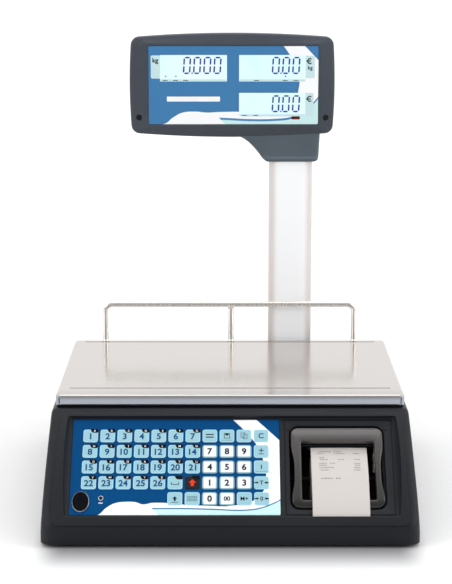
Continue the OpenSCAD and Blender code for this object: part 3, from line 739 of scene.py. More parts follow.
def casing_panel():
    """The plateau, the recess walls and the recess floor with the keypad's pocket and the printer's
    opening."""
    step = sizes().plateau / MM
    rings = []
    for inset, lift in [(-0.3, -1.0), (0, 0.4), (0.12, 0.75), (0.4, 0.95), (0.9, 1.0)]:
        p = panel_outline(inset)
        rings.append(np.column_stack([p, rise(p[:, 1]) + lift * step]))
    for grow, drop in [(1.0, 0), (0.45, 0.06), (0.12, 0.25), (0.0, 0.6)]:
        p = recess_ring(1, -grow)
        p[:, 2] -= drop
        rings.append(p)
    low = recess_ring(0.12, 0)
    foot = recess_ring(0, 0.5)
    rings += [low, foot]
    walls = loft([on_panel(r) for r in rings])

    def floor_ring(x0, x1, steps):
        """Rings in the floor, from the edge of a field inwards: each step is (x0, x1, s0, s1, corner,
        height)."""
        first = (x0, x1, RECESS_S[0] + 0.5, RECESS_S[1] - 0.5, 0.3, 0.0)
        return loft([on_panel(level(soft_rect(*q[:5], side=16), q[5])) for q in [first] + steps])

    keypad = floor_ring(RECESS_X[0] + 0.5, DIVIDE_X, [
        (POCKET_X[0] - 0.3, POCKET_X[1] + 0.3, POCKET_S[0] - 0.3, POCKET_S[1] + 0.3, 1.2, 0.0),
        (POCKET_X[0], POCKET_X[1], POCKET_S[0], POCKET_S[1], 1, -0.3),
        (POCKET_X[0], POCKET_X[1], POCKET_S[0], POCKET_S[1], 1, -2.0)])
    g = 1.5
    printer = floor_ring(DIVIDE_X, RECESS_X[1] - 0.5, [
        (54.9, 165.2, 10.0, 117.6, 1.5, 0.0), (55.2, 164.9, 10.3, 117.3, 1.4, -0.7),
        (55.9, 164.2, 11.0, 116.6, 1.3, -0.7), (56.2, 163.9, 11.3, 116.3, 1.2, 0.0),
        (LID_X[0] - g - 1, LID_X[1] + g + 1, LID_S[0] - g - 1, LID_S[1] + g + 1, 10.5, 0.0),
        (LID_X[0] - g - 0.3, LID_X[1] + g + 0.3, LID_S[0] - g - 0.3, LID_S[1] + g + 0.3, 9.8, -0.3),
        (LID_X[0] - g, LID_X[1] + g, LID_S[0] - g, LID_S[1] + g, 9.5, -1.0),
        (LID_X[0] - g, LID_X[1] + g, LID_S[0] - g, LID_S[1] + g, 9.5, -7.0)])
    return joined([facing(p, panel_out()) for p in (walls, keypad, printer)])


class SCALE_OT_casing(Operator):
    """Builds the sloped casing with its plateau, recess and printer opening"""
    bl_idname = "scale.casing"
    bl_label = "Casing"

    def execute(self, context):
        finish = moulded("casing_plastic", hues().casing)
        piece("casing", joined([casing_skin(), casing_panel()]), finish,
              replaces=["top_housing"],
              smooth=32)
        return {"FINISHED"}


class SCALE_OT_tray(Operator):
    """Finishes the tray, its cover and its screws, and builds the turned rubber feet"""
    bl_idname = "scale.tray"
    bl_label = "Tray and feet"

    def execute(self, context):
        tray = moulded("tray_plastic", hues().tray, rough=0.5)
        finish_node("lower_tray", tray)
        finish_node("battery_cover", tray)
        steel = brushed("screw_steel", srgb("B9BBBD"), "Z", 0.3)
        finish_node("base_screws", steel)
        sole = rubber("foot_rubber", srgb("1B1B1D"))
        profile = [(12.4, 0), (14.2, 0.2), (15, 0.8), (15, 2.0), (14.2, 2.5), (12.8, 3.0), (5, 3.1), (4, 3.2),
                   (4, 25)]
        for name in ("foot_front_left", "foot_front_right", "foot_rear_left", "foot_rear_right"):
            low, high = box_mm(name)
            x, y = (low[:2] + high[:2]) / 2
            piece(name + "_pad", turned(profile, (x, y, 0)), sole, body=name, replaces=[name])
        return {"FINISHED"}


# ---------------------------------------------------------------- the keypad

def key_outline(column, row, inset):
    s = sizes()
    x, y = KEY_X0 + column * s.key_pitch / MM, KEY_S0 + row * s.row_pitch / MM
    return soft_rect(x + inset, x + s.key_width / MM - inset, y + inset, y + s.key_length / MM - inset,
                     max(s.key_round / MM - inset, 0.4), corner=6, side=2)


def key_pad(column, row, foot=0.0, border=0.8):
    """A key: rings that rise from the overlay, round over and close in a faintly domed top. Face 1 is the
    rim."""
    steps = [(0, foot), (0, 0.28), (0.06, 0.42), (0.2, 0.52), (0.5, 0.57), (border, 0.58),
             (border + 0.1, 0.582), (3.2, KEY_TOP)]
    verts, faces = loft([on_panel(level(key_outline(column, row, i), h)) for i, h in steps], True, True)
    n = len(key_outline(0, 0, 0))
    rim = [1] * (5 * n) + [0] * (2 * n) + [1, 0]
    verts, turned_faces = facing((verts, faces), panel_out())
    return verts, turned_faces, rim


def key_mid(column, row):
    s = sizes()
    x = KEY_X0 + (column * s.key_pitch + s.key_width / 2) / MM
    return x, KEY_S0 + (row * s.row_pitch + s.key_length / 2) / MM


def lower(place):
    """The place of a number under a key's tab."""
    return place[0], place[1] + 0.6


def print_on(part, x, s, height=KEY_TOP + 0.03):
    """A flat part laid on the panel with its middle at x and s. Its own Y points up the slope."""
    verts, faces = part
    places = np.column_stack([verts[:, 0] + x, s - verts[:, 1], np.full(len(verts), height)])
    return facing((on_panel(places), faces), panel_out())


def arrow(width, height, up=True):
    """A block arrow, as a flat outline."""
    k = 1 if up else -1
    w, h = width / 2, height / 2
    stem = w * 0.4
    return flat([(-stem, -h * k), (stem, -h * k), (stem, 0), (w, 0), (0, h * k), (-w, 0), (-stem, 0)][::k])


def sideways(part, turn=1):
    verts, faces = part
    return np.column_stack([verts[:, 1] * turn, -verts[:, 0] * turn, verts[:, 2]]), faces


def moved(part, x, y):
    return part[0] + np.array([x, y, 0.0]), part[1]


def frame_of(w, h, t):
    """A thin rectangular frame."""
    return joined([bar(-w, w, h - t, h), bar(-w, w, -h, t - h),
                   bar(-w, t - w, t - h, h - t), bar(w - t, w, t - h, h - t)])


def zero_arrows(letter):
    return joined([lettering(letter, 6.2, 0.02), moved(sideways(arrow(3.0, 4.6)), -5, 0),
                   moved(sideways(arrow(3.0, 4.6), -1), 5, 0)])


def symbols():
    """Plain symbols for the function keys, by column and row."""
    return {
        (7, 0): joined([bar(-4, 4, 0.9, 2.1), bar(-4, 4, -2.1, -0.9)]),
        (8, 0): joined([frame_of(3, 3, 0.6), bar(-1.6, 1.6, 0.4, 2.4), bar(-6, 6, -5.1, -4.8)]),
        (9, 0): joined([moved(frame_of(2.2, 2.8, 0.5), -1, 0.8), moved(frame_of(2.2, 2.8, 0.5), 1.2, -0.8)]),
        (10, 0): lettering("C", 8, 0.02),
        (10, 1): joined([bar(-2.6, 2.6, 0.6, 1.4), bar(-0.4, 0.4, -1.6, 3.6), bar(-2.6, 2.6, -3.4, -2.6)]),
        (10, 2): joined([lettering("1", 6.5, 0.03), bar(-6, 6, -5.1, -4.8)]),
        (10, 3): zero_arrows("T"),
        (10, 4): zero_arrows("0"),
        (5, 3): joined([bar(-4, 4, -2.2, -1.5), bar(-4, -3.3, -2.2, 0.4), bar(3.3, 4, -2.2, 0.4)]),
        (5, 4): joined([arrow(5, 5), bar(-3.4, 3.4, -4.4, -3.8)]),
        (6, 4): joined([moved(frame_of(1.4, 1.1, 0.4), x, y) for x in (-3.4, 0, 3.4) for y in (-1.5, 1.5)]),
        (9, 4): lettering("M+", 6, 0.02),
    }


class SCALE_OT_keypad(Operator):
    """Builds the overlay's print, the keys, their tabs and their legends"""
    bl_idname = "scale.keypad"
    bl_label = "Keypad"

    def execute(self, context):
        h = hues()
        finish_node("keypad_overlay", keypad_print())
        finish_node("keypad_backplate", brushed("backplate_metal", srgb("9A9DA0")))
        pale = printed("key_print", h.key)
        rim = printed("key_rim", tuple(np.minimum(np.array(h.key) * 1.22 + 0.02, 0.93)))
        white = printed("number_key_print", h.number)
        halo = printed("number_key_rim", tuple(np.array(h.key) * 0.8))
        blue_ink, black_ink = ink("blue_ink", h.ink), ink("black_ink", h.black)
        white_ink = ink("white_ink", h.white)
        shift_black, red_ink = printed("shift_key_print", h.black), ink("red_ink", h.red)

        spots = [(c, r) for r in range(5) for c in range(11)
                 if (c, r) not in NUMBER_KEYS.values() and (r < 4 or c > 4)]
        pads = [key_pad(c, r) for c, r in spots]
        verts, faces = joined([p[:2] for p in pads])
        which = [i for p, spot in zip(pads, spots) for i in (p[2] if spot != (6, 3) else [2] * len(p[2]))]
        piece("function_keys_pads", (verts, faces, which), [pale, rim, shift_black],
              replaces=["function_keys"])
        for name, (c, r) in NUMBER_KEYS.items():
            piece(name + "_pad", key_pad(c, r, foot=-0.5, border=1.3), [white, halo], body=name,
                  replaces=[name])
            text = "00" if name == "key_00" else name[-1]
            legend = print_on(lettering(text, 6.4 if text == "00" else 9.2, 0.035), *key_mid(c, r))
            piece(name + "_legend", legend, black_ink, body=name)

        numbered = [(c, r) for r in range(4) for c in range(7) if not (r == 3 and c > 4)]
        legends = [print_on(lettering(str(i + 1), 9.4, 0.03), *lower(key_mid(c, r)))
                   for i, (c, r) in enumerate(numbered)]
        piece("plu_numbers", joined(legends), blue_ink)
        signs = [print_on(part, *key_mid(c, r)) for (c, r), part in symbols().items()]
        piece("key_symbols", joined(signs), black_ink)
        piece("shift_mark", print_on(arrow(7.5, 7.5), *key_mid(6, 3)), red_ink)

        tabs, marks = [], []
        tab_shape = [(-4.6, 2.2), (-3.4, 1.6), (-2.6, -0.6), (-1.4, -1.9), (0.4, -2.2), (3.6, -2.2),
                     (4.4, -1.6), (4.4, 1.2), (3.6, 2.2)]
        for i, (c, r) in enumerate(numbered + [(5, 3), (6, 3)]):
            x, s = key_mid(c, r)
            edge = s - sizes().key_length / MM / 2
            tabs.append(print_on(flat(tab_shape), x + 3.1, edge + 1.5, KEY_TOP + 0.04))
            if i < 26:
                letter = lettering(chr(ord("A") + i), 3.0, 0.01)
                marks.append(print_on(letter, x + 4.0, edge + 1.5, KEY_TOP + 0.07))
        piece("key_tabs", joined(tabs), black_ink)
        piece("tab_letters", joined(marks), white_ink)
        return {"FINISHED"}


def ellipse_ring(cx, cy, rx, ry, z, n=48):
    a = np.linspace(0, 2 * np.pi, n, endpoint=False)
    return on_panel(np.column_stack([cx + rx * np.cos(a), cy - ry * np.sin(a), np.full(n, z)]))


class SCALE_OT_power(Operator):
    """Builds the oval power button, its silver ring and the mains lamp"""
    bl_idname = "scale.power"
    bl_label = "Power button and lamp"

    def execute(self, context):
        cx, cy = POWER_AT
        button = [ellipse_ring(cx, cy, 7.55 - i, 10.15 - i, z) for i, z in
                  [(0, -8), (0, 0.9), (0.15, 1.15), (0.5, 1.35), (1.2, 1.42), (3, 1.25), (5, 1.1)]]
        gloss = moulded("button_plastic", srgb("03050B"), rough=0.34, grain=0.00001, gloss=0.08)
        piece("power_button_cap", facing(loft(button, True, True), panel_out()), gloss, body="power_button",
              replaces=["power_button"])
        ring = [ellipse_ring(cx, cy, 8.0 + i, 10.6 + i, z) for i, z in
                [(0, 0), (0, 1.0), (0.15, 1.3), (0.45, 1.38), (0.7, 1.25), (0.85, 0.9), (0.85, 0.0)]]
        silver = brushed("silver_ring", srgb("9C9FA6"), "X", 0.25)
        piece("power_ring", facing(loft(ring), panel_out()), silver,
              replaces=["power_button_ring"])
        lx, ls = LAMP_AT
        white = srgb("D9DDE2")
        collar = [ellipse_ring(lx, ls, r, r, z, 32) for r, z in
                  [(2.05, 0), (2.05, 0.5), (2.15, 0.62), (2.4, 0.6), (2.55, 0.4), (2.55, 0)]]
        piece("lamp_collar", facing(loft(collar), panel_out()), printed("lamp_rim", white))
        wave = print_on(lettering("~", 7.0, 0.03), lx, ls + 5.2, 0.06)
        piece("mains_mark", wave, printed("mains_print", white))
        lens = [ellipse_ring(lx, ls, r, r, z, 32) for r, z in
                [(2.0, -3), (2.0, 0.3), (1.8, 0.55), (1.2, 0.72), (0.5, 0.79)]]
        dark = moulded("lamp_lens", srgb("160708"), rough=0.12, grain=0.0)
        piece("lamp_lens", facing(loft(lens, True, True), panel_out()), dark,
              replaces=["power_led_lens"])
        return {"FINISHED"}


# ---------------------------------------------------------------- the printer

def lid_height(s):
    """Top of the lid over the panel, at s down the slope: low at its two ends and raised between them."""
    places = [LID_S[0], 21, 27, 31, 99, 103, 106.5, LID_S[1]]
    return np.interp(s, places, [-0.2, 0.9, 2.75, 3.0, 3.0, 2.75, 1.6, 0.4])


def lid_ring(inset, lift, window=False):
    """A ring of the lid: its outline has waisted sides, and its height follows lid_height less lift."""
    if window:
        p = soft_rect(WINDOW_X[0] - inset, WINDOW_X[1] + inset, WINDOW_S[0] - inset, WINDOW_S[1] + inset,
                      1.5 + inset, side=24)
    else:
        p = soft_rect(LID_X[0] + inset, LID_X[1] - inset, LID_S[0] + inset, LID_S[1] - inset, 8 - inset * 0.8,
                      side=24)
        mid = sum(LID_X) / 2
        waist = 2.9 * np.exp(-((p[:, 1] - 70) / 21.0) ** 4)
        p[:, 0] -= np.sign(p[:, 0] - mid) * waist * (abs(p[:, 0] - mid) > 40)
    return on_panel(np.column_stack([p, lid_height(p[:, 1]) - lift]))


def lid_foot(window):
    """The lower edge of the lid's wall, 3 mm under the panel plane."""
    edge = lid_ring(0.0 if window else 0.6, 0.0, window)
    down, _ = off_panel(edge[:, 1], edge[:, 2])
    return on_panel(np.column_stack([edge[:, 0], down, np.full(len(edge), -3.0)]))


class SCALE_OT_printer(Operator):
    """Builds the printer lid and the paper, and finishes the works inside the bay"""
    bl_idname = "scale.printer"
    bl_label = "Printer"

    def execute(self, context):
        smoky = smoked("lid_plastic", hues().lid)
        outside = [(0, 2.2), (0, 1.4), (0.3, 0.7), (0.9, 0.22), (1.8, 0)]
        window = [(3.2, 0), (1, 0.25), (0.3, 0.8), (0, 1.8)]
        rings = [lid_foot(False), *[lid_ring(*q) for q in outside],
                 *[lid_ring(*q, True) for q in window], lid_foot(True), lid_foot(False)]
        barrel = tube(on_panel([(x, *HINGE) for x in (66.2, 108.4, 150.6)]), 1.8, 24)
        piece("printer_lid_shell", joined([facing(loft(rings), panel_out()), barrel]), smoky, body="lid",
              replaces=["printer_lid"], smooth=50)

        black = moulded("bay_plastic", srgb("0B0C0E"), rough=0.5)
        finish_node("printer_bay", black)
        finish_node("roll_spindle", black)
        finish_node("thermal_head", plain_metal("head_metal", srgb("3A3D42"), 0.4))
        finish_node("tear_bar", plain_metal("tear_bar_metal", srgb("2A2C30"), 0.4))
        finish_node("lid_hinge_pin", plain_metal("pin_metal", srgb("17181A"), 0.5))
        finish_node("platen_roller", rubber("platen_rubber", srgb("202124")))
        acetal = moulded("gear_acetal", srgb("CFCBBB"), rough=0.38)
        finish_node("platen_gear", acetal)
        finish_node("idler_gear", acetal)
        finish_node("motor_pinion", plain_metal("pinion_brass", srgb("B89448"), 0.3))
        finish_node("stepper_motor", plain_metal("motor_plate", srgb("A7A9AC"), 0.35))
        white = paper_finish("thermal_paper", hues().paper)
        finish_node("paper_roll", white)
        self.paper(white)
        return {"FINISHED"}

    def paper(self, white):
        """The printed strip: an arched ribbon over the lid, 0.2 mm thick, with rows of faint marks laid on
        it."""
        t = np.linspace(0, 1, 60)
        s = STRIP_S[0] + (STRIP_S[1] - STRIP_S[0]) * t

        def height(t):
            rising = 10.6 * np.sin(np.radians(np.minimum(90, t * 150)))
            return rising - 6.5 - 3.3 * np.maximum(0, (t - 0.74) / 0.26) ** 2

        x0, x1 = STRIP_LOW[0], STRIP_HIGH[0]
        across = np.linspace(0, 1, 25)
        cup = 0.35 * (1 - (2 * across - 1) ** 2)

        def sheet(lift):
            grid = np.stack(np.broadcast_arrays(x0 + (x1 - x0) * across[None], s[:, None],
                                                height(t)[:, None] + cup[None] + lift), -1)
            return on_panel(grid)

        top, under = sheet(0.2), sheet(0.02)
        edge = np.concatenate([top, under[:, ::-1]], 1)
        piece("paper_ribbon", outward(loft(edge, True, True)), white, body="lid",
              replaces=["paper_strip"], smooth=60)

        rng = np.random.default_rng(7)
        rows = [(44.5, [(8, 20), (23, 31)]), (47.0, [(6, 12), (24, 34), (43, 49)]), (52.5, [(8, 13)]),
                (55.0, [(9, 17), (27, 33), (43, 49)]), (60.0, [(8, 16), (19, 24), (43, 49)]),
                (62.5, [(8, 15), (44, 49)]),
                (65.5, [(8, 22), (43, 49)]), (68.5, [(9, 17), (43, 49)]), (78.5, [(9, 20), (24, 29)])]
        marks = []
        for row, runs in rows:
            for a, b in runs:
                for x in np.arange(a, b, 1.35):
                    w, h = rng.uniform(0.7, 1.05), rng.uniform(1.2, 1.6)
                    p = np.array([(x, row - h / 2), (x + w, row - h / 2), (x + w, row + h / 2),
                                  (x, row + h / 2)])
                    u = (p[:, 0]) / (x1 - x0)
                    tt = (p[:, 1] - STRIP_S[0]) / (STRIP_S[1] - STRIP_S[0])
                    z = height(tt) + 0.35 * (1 - (2 * u - 1) ** 2) + 0.2 + 0.06
                    mark = on_panel(np.column_stack([x0 + p[:, 0], p[:, 1], z]))
                    marks.append(facing((mark, [[0, 1, 2, 3]]), panel_out()))
        piece("print_marks", joined(marks), ink("thermal_print", srgb("8E8A8A")), body="lid")


# ---------------------------------------------------------------- platter and rail

def ramp_along(f, axis, low, high, middle=None):
    """0 at low and 1 at high along an axis of the object, or by the distance from middle, all in
    millimetres."""
    place = f.put("ShaderNodeSeparateXYZ", {"Vector": f.coords}).outputs[axis]
    if middle is not None:
        place = f.math("ABSOLUTE", f.math("SUBTRACT", place, middle * MM))
    return f.put("ShaderNodeMapRange", {"Value": place, "From Min": low * MM, "From Max": high * MM},
                 interpolation_type="SMOOTHSTEP").outputs[0]


def groove_dirt_and_painted_reflection(f, tint):
    """Dirt in the two pressed grooves, and painted reflection: a darker front border and darker bluish
    skirts, standing for the dark room in front seen in the steel.
    """
    # painted reflection: the front border is painted darker
    border = f.math("MULTIPLY", ramp_along(f, 1, -78, -96), 0.45)
    tint = f.mix(border, tint, (0.5, 0.48, 0.48))
    for groove in GROOVES_Y:
        near, along = ramp_along(f, 1, 2.1, 0.7, groove), ramp_along(f, 0, 168.5, 166.5, 0)
        tint = f.mix(f.math("MULTIPLY", near, along), tint, (0.09, 0.075, 0.07))
    # painted reflection: the skirts below the top are painted a darker bluish grey
    return f.mix(ramp_along(f, 2, 130.2, 127.5), tint, (0.36, 0.38, 0.43))


def painted_edge_shade(f, tint):
    """Painted shade: the column's rounded edges are painted a little darker and warmer than its faces, where
    they turn away from the light.
    """
    # painted shade: a darker, warmer tint mixed in towards the two rounded sides
    near = ramp_along(f, 0, 14.5, 22, (COLUMN_LOW[0] + COLUMN_HIGH[0]) / 2)
    return f.mix(near, tint, (0.74, 0.69, 0.665))


class SCALE_OT_platter(Operator):
    """Builds the folded stainless platter and its wire rail"""
    bl_idname = "scale.platter"
    bl_label = "Platter and rail"

    def execute(self, context):
        steel = brushed("platter_steel", hues().steel, "X", 0.12, shade=groove_dirt_and_painted_reflection)
        sheet = piece("platter_sheet", self.sheet(), steel, body="platter",
                      replaces=["platter"], smooth=50)
        solid = sheet.modifiers.new("Thickness", "SOLIDIFY")
        solid.thickness, solid.offset = sizes().sheet, -1
        wire = brushed("rail_steel", hues().wire, "Z", 0.24, depth=0.0)
        piece("rail_wire", self.rail(), wire, body="platter", replaces=["rail"])
        spider = plain_metal("spider_zinc", srgb("8C9094"), 0.42)
        finish_node("platter_spider", spider)
        finish_node("spider_pads", rubber("pad_rubber", srgb("1D1D1F")))
        return {"FINISHED"}

    def sheet(self):
        """One sheet folded on four sides. A place u along the sheet is flat up to the fold, goes round it
        as an arc and then straight down. The corners turn the same fold about an upright axis, with an open
        seam at each."""
        low, high = PLATTER_LOW, PLATTER_HIGH
        fold, corner, drop = 2.5, sizes().platter_corner / MM, high[2] - low[2]
        mid, half = (low[:2] + high[:2]) / 2, (high[:2] - low[:2]) / 2

        def places(h, extra=()):
            f = h - fold
            inner = np.concatenate([np.linspace(0, f - corner, 20),
                                    f - corner + corner * np.linspace(0, 1, 7)[1:]])
            bend = f + fold * np.pi / 2 * np.linspace(0, 1, 6)[1:]
            down = bend[-1] + (drop - fold) * np.linspace(0, 1, 4)[1:]
            side = np.concatenate([inner, bend, down])
            return np.unique(np.round(np.concatenate([-side, side, extra]), 6))

        def folded(u, h):
            f = h - fold
            a = np.clip((abs(u) - f) / fold, 0, np.pi / 2)
            below = np.maximum(abs(u) - f - fold * np.pi / 2, 0)
            return np.sign(u) * (np.minimum(abs(u), f) + fold * np.sin(a)), fold * (1 - np.cos(a)) + below

        grooves = [y - mid[1] for y in GROOVES_Y]
        rows = np.concatenate([g + np.linspace(-2.4, 2.4, 13) for g in grooves])
        ends = np.concatenate([e + np.linspace(-2, 2, 5) for e in (-GROOVE_END, GROOVE_END)])
        u, v = places(half[0], ends), places(half[1], rows)
        gu, gv = np.meshgrid(u, v, indexing="ij")
        x, dx = folded(gu, half[0])
        y, dy = folded(gv, half[1])
        fx, fy = half[0] - fold, half[1] - fold
        cu, cv = np.maximum(abs(gu) - (fx - corner), 0), np.maximum(abs(gv) - (fy - corner), 0)
        at_corner = (cu > 0) & (cv > 0)
        reach = np.maximum(cu, cv)
        turn = np.where(cu > cv, cv / np.maximum(cu, 1e-9), 2 - cu / np.maximum(cv, 1e-9)) * np.pi / 4
        out, down = folded(reach, corner + fold)
        x = np.where(at_corner, np.sign(gu) * (fx - corner + out * np.cos(turn)), x)
        y = np.where(at_corner, np.sign(gv) * (fy - corner + out * np.sin(turn)), y)
        z = high[2] - np.where(at_corner, down, dx + dy)
        for g in grooves:
            along = 1 / (1 + np.exp((abs(gu) - 167.5) / 0.4))
            z = z - 1.0 * np.exp(-((gv - g) / 0.85) ** 2) * along
        grid = np.stack([x + mid[0], y + mid[1], z], -1)
        verts, faces = loft(grid, closed=False)
        q = np.array(faces)
        seam = at_corner.ravel()[q].all(1) & (reach.ravel()[q].min(1) > corner + 0.5)
        seam &= abs(turn.ravel()[q].mean(1) - 1.2) < 0.075
        verts, faces = facing((verts, q[~seam].tolist()), (0, 0, 1))
        used = np.unique(np.array(faces))
        back = np.full(len(verts), -1)
        back[used] = np.arange(len(used))
        return verts[used], back[np.array(faces)].tolist()

    def rail(self):
        """A bent wire over three posts: straight, quarter circles of 8 mm, straight; each post has a welded
        foot."""
        r, bend = (RAIL_HIGH[1] - RAIL_LOW[1]) / 2 - 1.2, 8.0
        y, top = (RAIL_LOW[1] + RAIL_HIGH[1]) / 2, RAIL_HIGH[2] - r
        foot, x = PLATTER_HIGH[2] + 0.1, RAIL_HIGH[0] - r - 1.2
        left = np.column_stack([np.full(6, -x), np.linspace(foot, top - bend, 6)])
        along = np.column_stack([np.linspace(-x + bend, x - bend, 30)[1:-1], np.full(28, top)])
        right = np.column_stack([np.full(5, x), left[::-1][1:, 1]])
        path = np.concatenate([left, arc(-x + bend, top - bend, bend, 180, 90, 10)[1:], along,
                               arc(x - bend, top - bend, bend, 90, 0, 10), right])
        post = np.column_stack([np.full(8, RAIL_MID), np.linspace(foot, top - 0.6, 8)])
        parts = [tube(upright(path, y), r, 20), tube(upright(post, y), r, 20)]
        fillet = [(r - 0.05, top - 7), (r, top - 5.5), (r + 0.4, top - 4), (r + 1.0, top - 3.1),
                  (2.0, top - 1.5)]
        parts.append(turned(fillet, (RAIL_MID, y, 0), n=24))
        for px in (-x, RAIL_MID, x):
            nub = [(r + g, foot + h) for g, h in
                   [(1.1, 0), (1.15, 0.6), (0.8, 1.1), (0.35, 1.5), (0.05, 2.4), (-1.2, 2.6)]]
            parts.append(turned(nub, (px, y, 0), n=24))
        return joined(parts)


# ---------------------------------------------------------------- column and head

def column_outline(inset=0.0):
    low, high = COLUMN_LOW, COLUMN_HIGH
    return soft_rect(low[0] + inset, high[0] - inset, low[1] + inset, high[1] - inset, 12 - inset, corner=16,
                     side=6)


class SCALE_OT_column(Operator):
    """Builds the anodised column and finishes what holds it"""
    bl_idname = "scale.column"
    bl_label = "Column"

    def execute(self, context):
        low, high = COLUMN_LOW[2], COLUMN_HIGH[2]
        rings = [level(column_outline(i), z) for i, z in
                 [(2, low), (0, low), *[(0, z) for z in np.linspace(low, high, 12)[1:]], (2, high)]]
        rings.append(level(column_outline(2), low))
        satin = brushed("column_aluminium", hues().column, "Z", 0.4, metal=0.04, depth=0.000008, tone=0.02,
                        shade=painted_edge_shade)
        piece("column_profile", outward(loft(rings)), satin, replaces=["column_tube"],
              smooth=50)
        finish_node("column_clamp", plain_metal("clamp_metal", srgb("6C6F73"), 0.45))
        finish_node("pole_cable", rubber("cable_sheath", srgb("111214")))
        return {"FINISHED"}


def head_outline(inset, n=26):
    """The head's front outline: a rounded rectangle whose sides bow by 1.5 mm and whose top and bottom bow
    by 4 mm."""
    return soft_rect(HEAD_LOW[0] + 1.5 + inset, HEAD_HIGH[0] - 1.5 - inset, HEAD_LOW[2] + 4 + inset,
                     HEAD_HIGH[2] - 4 - inset, max(10 - inset, 1.5), corner=12, side=n, bow=(1.5, 4))


def window_outline(inset, n=26):
    return soft_rect(WINDOW_LOW[0] + inset, WINDOW_HIGH[0] - inset, WINDOW_LOW[2] + inset,
                     WINDOW_HIGH[2] - inset,
                     max(1.6 - inset, 0.4), corner=12, side=n)


def between(a, b, t):
    return a * (1 - t) + b * t


class SCALE_OT_head(Operator):
    """Builds the two shells of the display head and the neck"""
    bl_idname = "scale.head"
    bl_label = "Display head"

    def execute(self, context):
        front = moulded("head_plastic", hues().head, rough=0.36)
        back = moulded("neck_plastic", hues().neck, rough=0.42)
        y0, y1 = HEAD_LOW[1], HEAD_HIGH[1]
        edge = window_outline(-3.0)
        rings = [upright(head_outline(i), y) for i, y in
                 [(2.5, y1 - 0.2), (0.5, y1 - 0.2), (0, y1 - 0.6), (0, y0 + 8.5), (0.25, y0 + 6.9),
                  (0.9, y0 + 5.6), (2.0, y0 + 4.8)]]
        inner = head_outline(3.2)
        for t in (0.1, 0.3, 0.5, 0.7, 0.88):
            rings.append(upright(between(inner, edge, t), y0 + 4.3 - 4.1 * t))
        rings += [upright(window_outline(i), y0 + d) for i, d in
                  [(-3.0, 0.25), (-2.2, 0.05), (-1.2, 0.1), (-0.5, 0.5), (0, 1.2), (0.2, 2.4)]]
        shell = outward(loft(rings))
        piece("head_front_bezel", shell, front, replaces=["head_front_shell"], smooth=28)
        shade = rubber("recess_shade", srgb("0A0B0E"))
        piece("head_screw_recesses", joined(self.screw_wells(rings[6:12])), shade)
        finish_node("head_screws", plain_metal("screw_black", srgb("303236"), 0.35))
        piece("head_rear_cover", joined([self.rear(), self.neck()]), back,
              replaces=["head_rear_shell"], smooth=35)
        return {"FINISHED"}

    def screw_wells(self, rings):
        """A dark round dimple at each screw, laid on the bezel where its rings pass the screw."""
        verts = np.concatenate(rings)
        wells = []
        for x in HEAD_SCREWS:
            near = verts[np.argsort(np.hypot(verts[:, 0] - x, verts[:, 2] - HEAD_SCREW_Z))[:14]]
            base = np.column_stack([near[:, 0], near[:, 2], np.ones(len(near))])
            plane = np.linalg.lstsq(base, near[:, 1], rcond=None)[0]
            a = np.linspace(0, 2 * np.pi, 32, endpoint=False)
            disc = []
            for r, d in [(3.4, 0.0), (3.2, 0.16), (2.9, 0.12), (2.6, 0.04), (1.0, 0.03)]:
                px, pz = x + r * np.cos(a), HEAD_SCREW_Z + r * np.sin(a)
                disc.append(np.column_stack([px, plane[0] * px + plane[1] * pz + plane[2] - d, pz]))
            wells.append(facing(loft(disc, cap_last=True), (0, -1, 0)))
        return wells

    def rear(self):
        y0, y1 = HEAD_HIGH[1], REAR_HIGH[1]
        rings = [upright(head_outline(i), y) for i, y in
                 [(3.4, y0 + 0.1), (1.0, y0 + 0.1), (0.8, y0 + 0.5), (0.9, y0 + 12), (1.5, y0 + 22),
                  (2.4, y0 + 26.5),
                  (4.2, y0 + 29.2), (7.0, y0 + 30.6), (9.5, y0 + 31.0)]]
        edge = window_outline(-2.0)
        rings += [upright(between(head_outline(9.5), edge, t), y1) for t in (0.4, 0.8, 1.0)]
        rings += [upright(window_outline(-0.5), y1 - 0.15), upright(window_outline(0), y1 - 0.8),
                  upright(window_outline(0.2), y1 - 2.2)]
        return outward(loft(rings))

    def neck(self):
        """Level rings down the neck: its left side follows a rising power curve, and its lower edge is
        rounded."""
        rounding = 339.1 + 4.9 * (1 - np.sin(np.radians(np.linspace(0, 90, 8))))
        z = np.concatenate([np.linspace(377, 344, 26), rounding])
        rings = []
        for h in z:
            t = np.clip((369 - h) / 28, 0, 1) ** (1 / 1.8)
            left = 5.4 + 33.2 * t if h < 369 else 5.4 - (h - 369) * 0.25
            right = 101.6 + 2 * np.clip((h - 340) / 38, 0, 1)
            tuck = 4.9 - math.sqrt(max(24 - max(344 - h, 0) ** 2, 0)) if h < 344 else 0
            front, back = HEAD_LOW[1] + 5.3 + tuck * 0.8, REAR_HIGH[1] - 2.3 - tuck * 0.8
            rings.append(level(soft_rect(left + tuck, right - tuck, front, back, max(7 - tuck, 2)), h))
        low, high = COLUMN_LOW - 0.3, COLUMN_HIGH + 0.3
        hole = soft_rect(low[0], high[0], low[1], high[1], 12.3)
        rings += [level(hole, z[-1]), level(hole, z[-1] + 6)]
        return outward(loft(rings, cap_first=True))


# ---------------------------------------------------------------- displays

# Fields of the display window, as (left, right, bottom, top), and the places of its printed marks, as (x, z)
SCREEN_FIELDS = [(-78.8, -3.1, 431.5, 461.3), (10.6, 85.8, 431.5, 461.3), (10.6, 85.8, 392, 418.7)]
TAB_FIELDS = [(-89.2, -74, 434.8, 460.9), (75, 96.1, 435.3, 460.5), (75, 95, 392.4, 418.7)]
DASHES_AT = [(x, 432.7) for x in (-73, -61.3, -49.9, 30.3, 62.7, 75)] + [(16.7, 393.2), (29.5, 393.2)]
POINTERS_AT = [(-72.3, 437.5), (-60.9, 437.5), (63.1, 437.5)]


